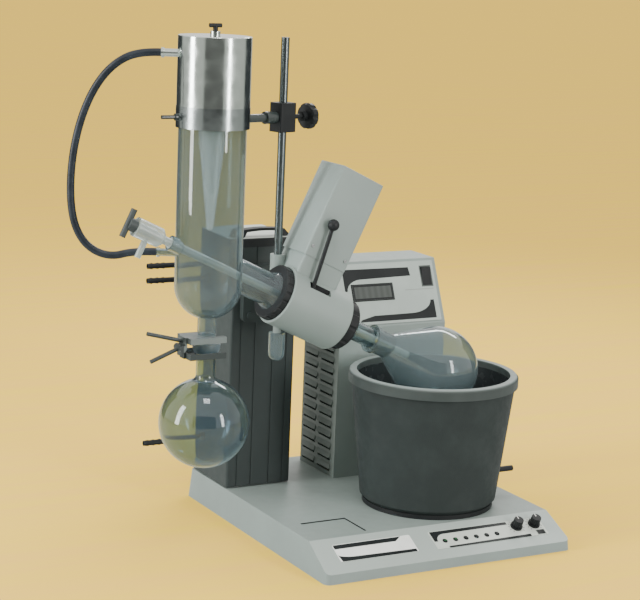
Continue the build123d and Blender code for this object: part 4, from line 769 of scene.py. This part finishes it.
def add_bar(name, corner, edges, finish, body):
    """A straight bar from one corner along three edges."""
    a, b, c = edges
    points = [corner + i * a + j * b + k * c for k in (0, 1) for j in (0, 1) for i in (0, 1)]
    faces = [(0, 2, 3, 1), (4, 5, 7, 6), (0, 1, 5, 4), (2, 6, 7, 3), (0, 4, 6, 2), (1, 3, 7, 5)]
    if a.cross(b).dot(c) < 0:
        faces = [tuple(reversed(face)) for face in faces]
    return add_mesh(name, points, faces, finish, body)


def add_edge_shade(name, x, y, run_x, run_y):
    """A dark strip of painted shade on the recess's floor, from its near left corner."""
    edges = (Vector((run_x, 0, 0)), Vector((0, run_y, 0)), Vector((0, 0, EDGE_SHADE_HEIGHT)))
    add_bar("tray_edge_shade_" + name, Vector((x, y, TRAY_FLOOR)), edges, painted_shade_finish, "base")


# Painted shade: one black finish for the slot's strip and the recess's strips.
painted_shade_finish = rubber("painted_shade_black", (0.008, 0.009, 0.010), 0.9)
slot_shade_edges = (SLOT_SHADE_LENGTH * DRIVE_AXIS, Vector((0, SLOT_SHADE_THICKNESS, 0)), SLOT_SHADE_HEIGHT * DRIVE_NORMAL)
add_bar("slot_painted_shade", SLOT_SHADE_CORNER, slot_shade_edges, painted_shade_finish, "head")
# Painted shade along the recess's far and right edges.
add_edge_shade("far", TRAY_LEFT, TRAY_FAR - EDGE_SHADE_WIDTH, TRAY_RIGHT - TRAY_LEFT, EDGE_SHADE_WIDTH)
add_edge_shade("right", TRAY_RIGHT - EDGE_SHADE_WIDTH, TRAY_NEAR, EDGE_SHADE_WIDTH, TRAY_FAR - TRAY_NEAR - EDGE_SHADE_WIDTH)
print("slot felt and tray bead")

# %% [markdown]
# ## Lamps, pointers and screws
# Six small lamp caps stand in the strip, dark but for the first two, which are green. Each knob has a
# white pointer line that turns with it. Socket screws hold the motor's cover and the column's back. Caps
# and screws are both built ring by ring about a normal, so a screw's six-sided hole is real and catches a
# shadow.

# %% Rings about a normal
def round_reach(radius):
    """A circle's reach, the same in every direction."""
    return lambda angle: radius


def hexagon_reach(radius):
    """A hexagon's reach, from its middle to its side in a direction."""
    half_side = math.pi / 6
    flat = radius * math.cos(half_side)
    return lambda angle: flat / math.cos((angle + half_side) % (2 * half_side) - half_side)


def ring_points(place, normal, rings, sides):
    """The points of rings about a normal. Each ring has a reach by direction and a height."""
    turn = normal.to_track_quat("Z", "Y").to_matrix()
    points = []
    for reach, up in rings:
        for side in range(sides):
            angle = 2 * math.pi * side / sides
            local = Vector((reach(angle) * math.cos(angle), reach(angle) * math.sin(angle), up))
            points.append(place + turn @ local)
    return points


def ring_faces(count, sides):
    """Faces between neighbouring rings, and one that closes the first ring."""
    faces = []
    for ring in range(count - 1):
        first, second = ring * sides, (ring + 1) * sides
        for side in range(sides):
            after = (side + 1) % sides
            faces.append((first + side, first + after, second + after, second + side))
    faces.append(tuple(range(sides - 1, -1, -1)))
    return faces


print("ring helpers ready")

# %% Lamp caps and knob pointers
DOME_RINGS, DOME_SIDES = 6, 24
LENS_RADIUS, LENS_HEIGHT = 0.0021, 0.0008
GREEN_LAMPS = 2
POINTER_HALF, POINTER_LOW, POINTER_HIGH = 0.6, 45.5, 51
green_lens = plastic("green_lens", (0.020, 0.085, 0.035), roughness=0.18, grain=0.05)
dark_lens = plastic("dark_lens", (0.026, 0.028, 0.030), roughness=0.18, grain=0.05)


def add_dome(name, place, normal, radius, height, finish, body):
    """A shallow dome on a panel, with one point at its top."""
    leans = [math.pi / 2 * ring / DOME_RINGS for ring in range(DOME_RINGS)]
    rings = [(round_reach(radius * math.cos(lean)), height * math.sin(lean)) for lean in leans]
    points = ring_points(place, normal, rings, DOME_SIDES) + [place + height * normal]
    top = len(points) - 1
    last = top - DOME_SIDES
    faces = ring_faces(DOME_RINGS, DOME_SIDES)
    faces += [(last + side, last + (side + 1) % DOME_SIDES, top) for side in range(DOME_SIDES)]
    return add_mesh(name, points, faces, finish, body, smooth=True)


lamp_top = top_of("indicator_lamps", BASE_PANEL)
for number in range(LAMP_COUNT):
    place = panel_place(BASE_PANEL, lamp_x(number) / 1000, LAMP_UP / 1000, lamp_top)
    lens = green_lens if number < GREEN_LAMPS else dark_lens
    add_dome("lamp_lens_%d" % number, place, BASE_PANEL.normal, LENS_RADIUS, LENS_HEIGHT, lens, "base")
for node, body, x in KNOBS:
    pointer = rectangle(x - POINTER_HALF, x + POINTER_HALF, POINTER_LOW, POINTER_HIGH)
    level = top_of(node, BASE_PANEL)
    lay_print(node + "_pointer", BASE_PANEL, level, pointer, pale_ink, body)
print("six lamp lenses and two pointers")

# %% Socket screws
SCREW_SIDES = 36
SCREW_RADIUS, SCREW_HEIGHT, SCREW_SINK = 0.0026, 0.0014, 0.0001
CHAMFER_START, CHAMFER_SHARE = 0.8, 0.88
HOLE_SHARE, HOLE_FLOOR = 0.56, 0.25
COVER_SIDES = ((-0.022, -1), (0.048, 1))
COVER_SCREWS_ALONG, COVER_SCREWS_UP = (0.009, 0.069), 0.084
BACK_SCREWS_IN, BACK_SCREWS_UP = 0.012, (0.062, 0.21, 0.372)
screw_steel = metal("screw_steel", (0.30, 0.31, 0.31), 0.30, EVEN, scratch=0.05)


def add_screw(name, place, normal, body):
    """A cap screw with a chamfered head and a hexagonal hole."""
    rim = round_reach(SCREW_RADIUS)
    hole = hexagon_reach(SCREW_RADIUS * HOLE_SHARE)
    rings = [(rim, 0), (rim, SCREW_HEIGHT * CHAMFER_START),
             (round_reach(SCREW_RADIUS * CHAMFER_SHARE), SCREW_HEIGHT),
             (hole, SCREW_HEIGHT), (hole, SCREW_HEIGHT * HOLE_FLOOR)]
    last = (len(rings) - 1) * SCREW_SIDES
    faces = ring_faces(len(rings), SCREW_SIDES) + [tuple(range(last, last + SCREW_SIDES))]
    points = ring_points(place, normal, rings, SCREW_SIDES)
    return add_mesh(name, points, faces, screw_steel, body)


for number, ((y, facing), along) in enumerate(product(COVER_SIDES, COVER_SCREWS_ALONG)):
    place = head_place(along, y, COVER_SCREWS_UP)
    add_screw("cover_screw_%d" % number, place, Vector((0, facing, 0)), "head")
column_low, column_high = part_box("column_case")
back_columns = (column_low[0] + BACK_SCREWS_IN, column_high[0] - BACK_SCREWS_IN)
for number, (x, z) in enumerate(product(back_columns, BACK_SCREWS_UP)):
    place = Vector((x, column_high[1] - SCREW_SINK, z))
    add_screw("back_screw_%d" % number, place, Vector((0, 1, 0)), "base")
print("ten screws")

# %% [markdown]
# ## The vacuum hose
# A rubber hose runs from the port on the condenser's cap, out to the left and back, down in one loose
# loop and into the lower port. It follows the route that the frame's hose takes, as a smooth spline with
# those points as its controls. Each point is a distance out from the condenser's axis and a height.

# %% Vacuum hose
HOSE_TURN = math.radians(150)
HOSE_RADIUS = 0.0055
HOSE_ROUND_STEPS, HOSE_LONG_STEPS = 6, 12
SPLINE_ORDER = 3
HOSE_ROUTE = (
    (0.074, 0.731), (0.106, 0.731), (0.140, 0.713), (0.166, 0.680), (0.185, 0.634), (0.196, 0.580),
    (0.198, 0.524), (0.191, 0.482), (0.172, 0.453), (0.140, 0.4405), (0.105, 0.451), (0.074, 0.451))


def make_hose():
    curve = bpy.data.curves.new("vacuum_hose_skin", "CURVE")
    curve.dimensions = "3D"
    curve.bevel_depth = HOSE_RADIUS
    curve.bevel_resolution = HOSE_ROUND_STEPS
    curve.resolution_u = HOSE_LONG_STEPS
    curve.use_fill_caps = True
    spline = curve.splines.new("NURBS")
    spline.points.add(len(HOSE_ROUTE) - 1)
    for point, (reach, height) in zip(spline.points, HOSE_ROUTE):
        x = CONDENSER_X + reach * math.cos(HOSE_TURN)
        y = CONDENSER_Y + reach * math.sin(HOSE_TURN)
        point.co = (x, y, height, 1)
    spline.order_u = SPLINE_ORDER
    spline.use_endpoint_u = True
    hose = bpy.data.objects.new("vacuum_hose_skin", curve)
    bpy.context.collection.objects.link(hose)
    curve.materials.append(grey_rubber)
    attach(hose, "head")
    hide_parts("vacuum_hose")


make_hose()
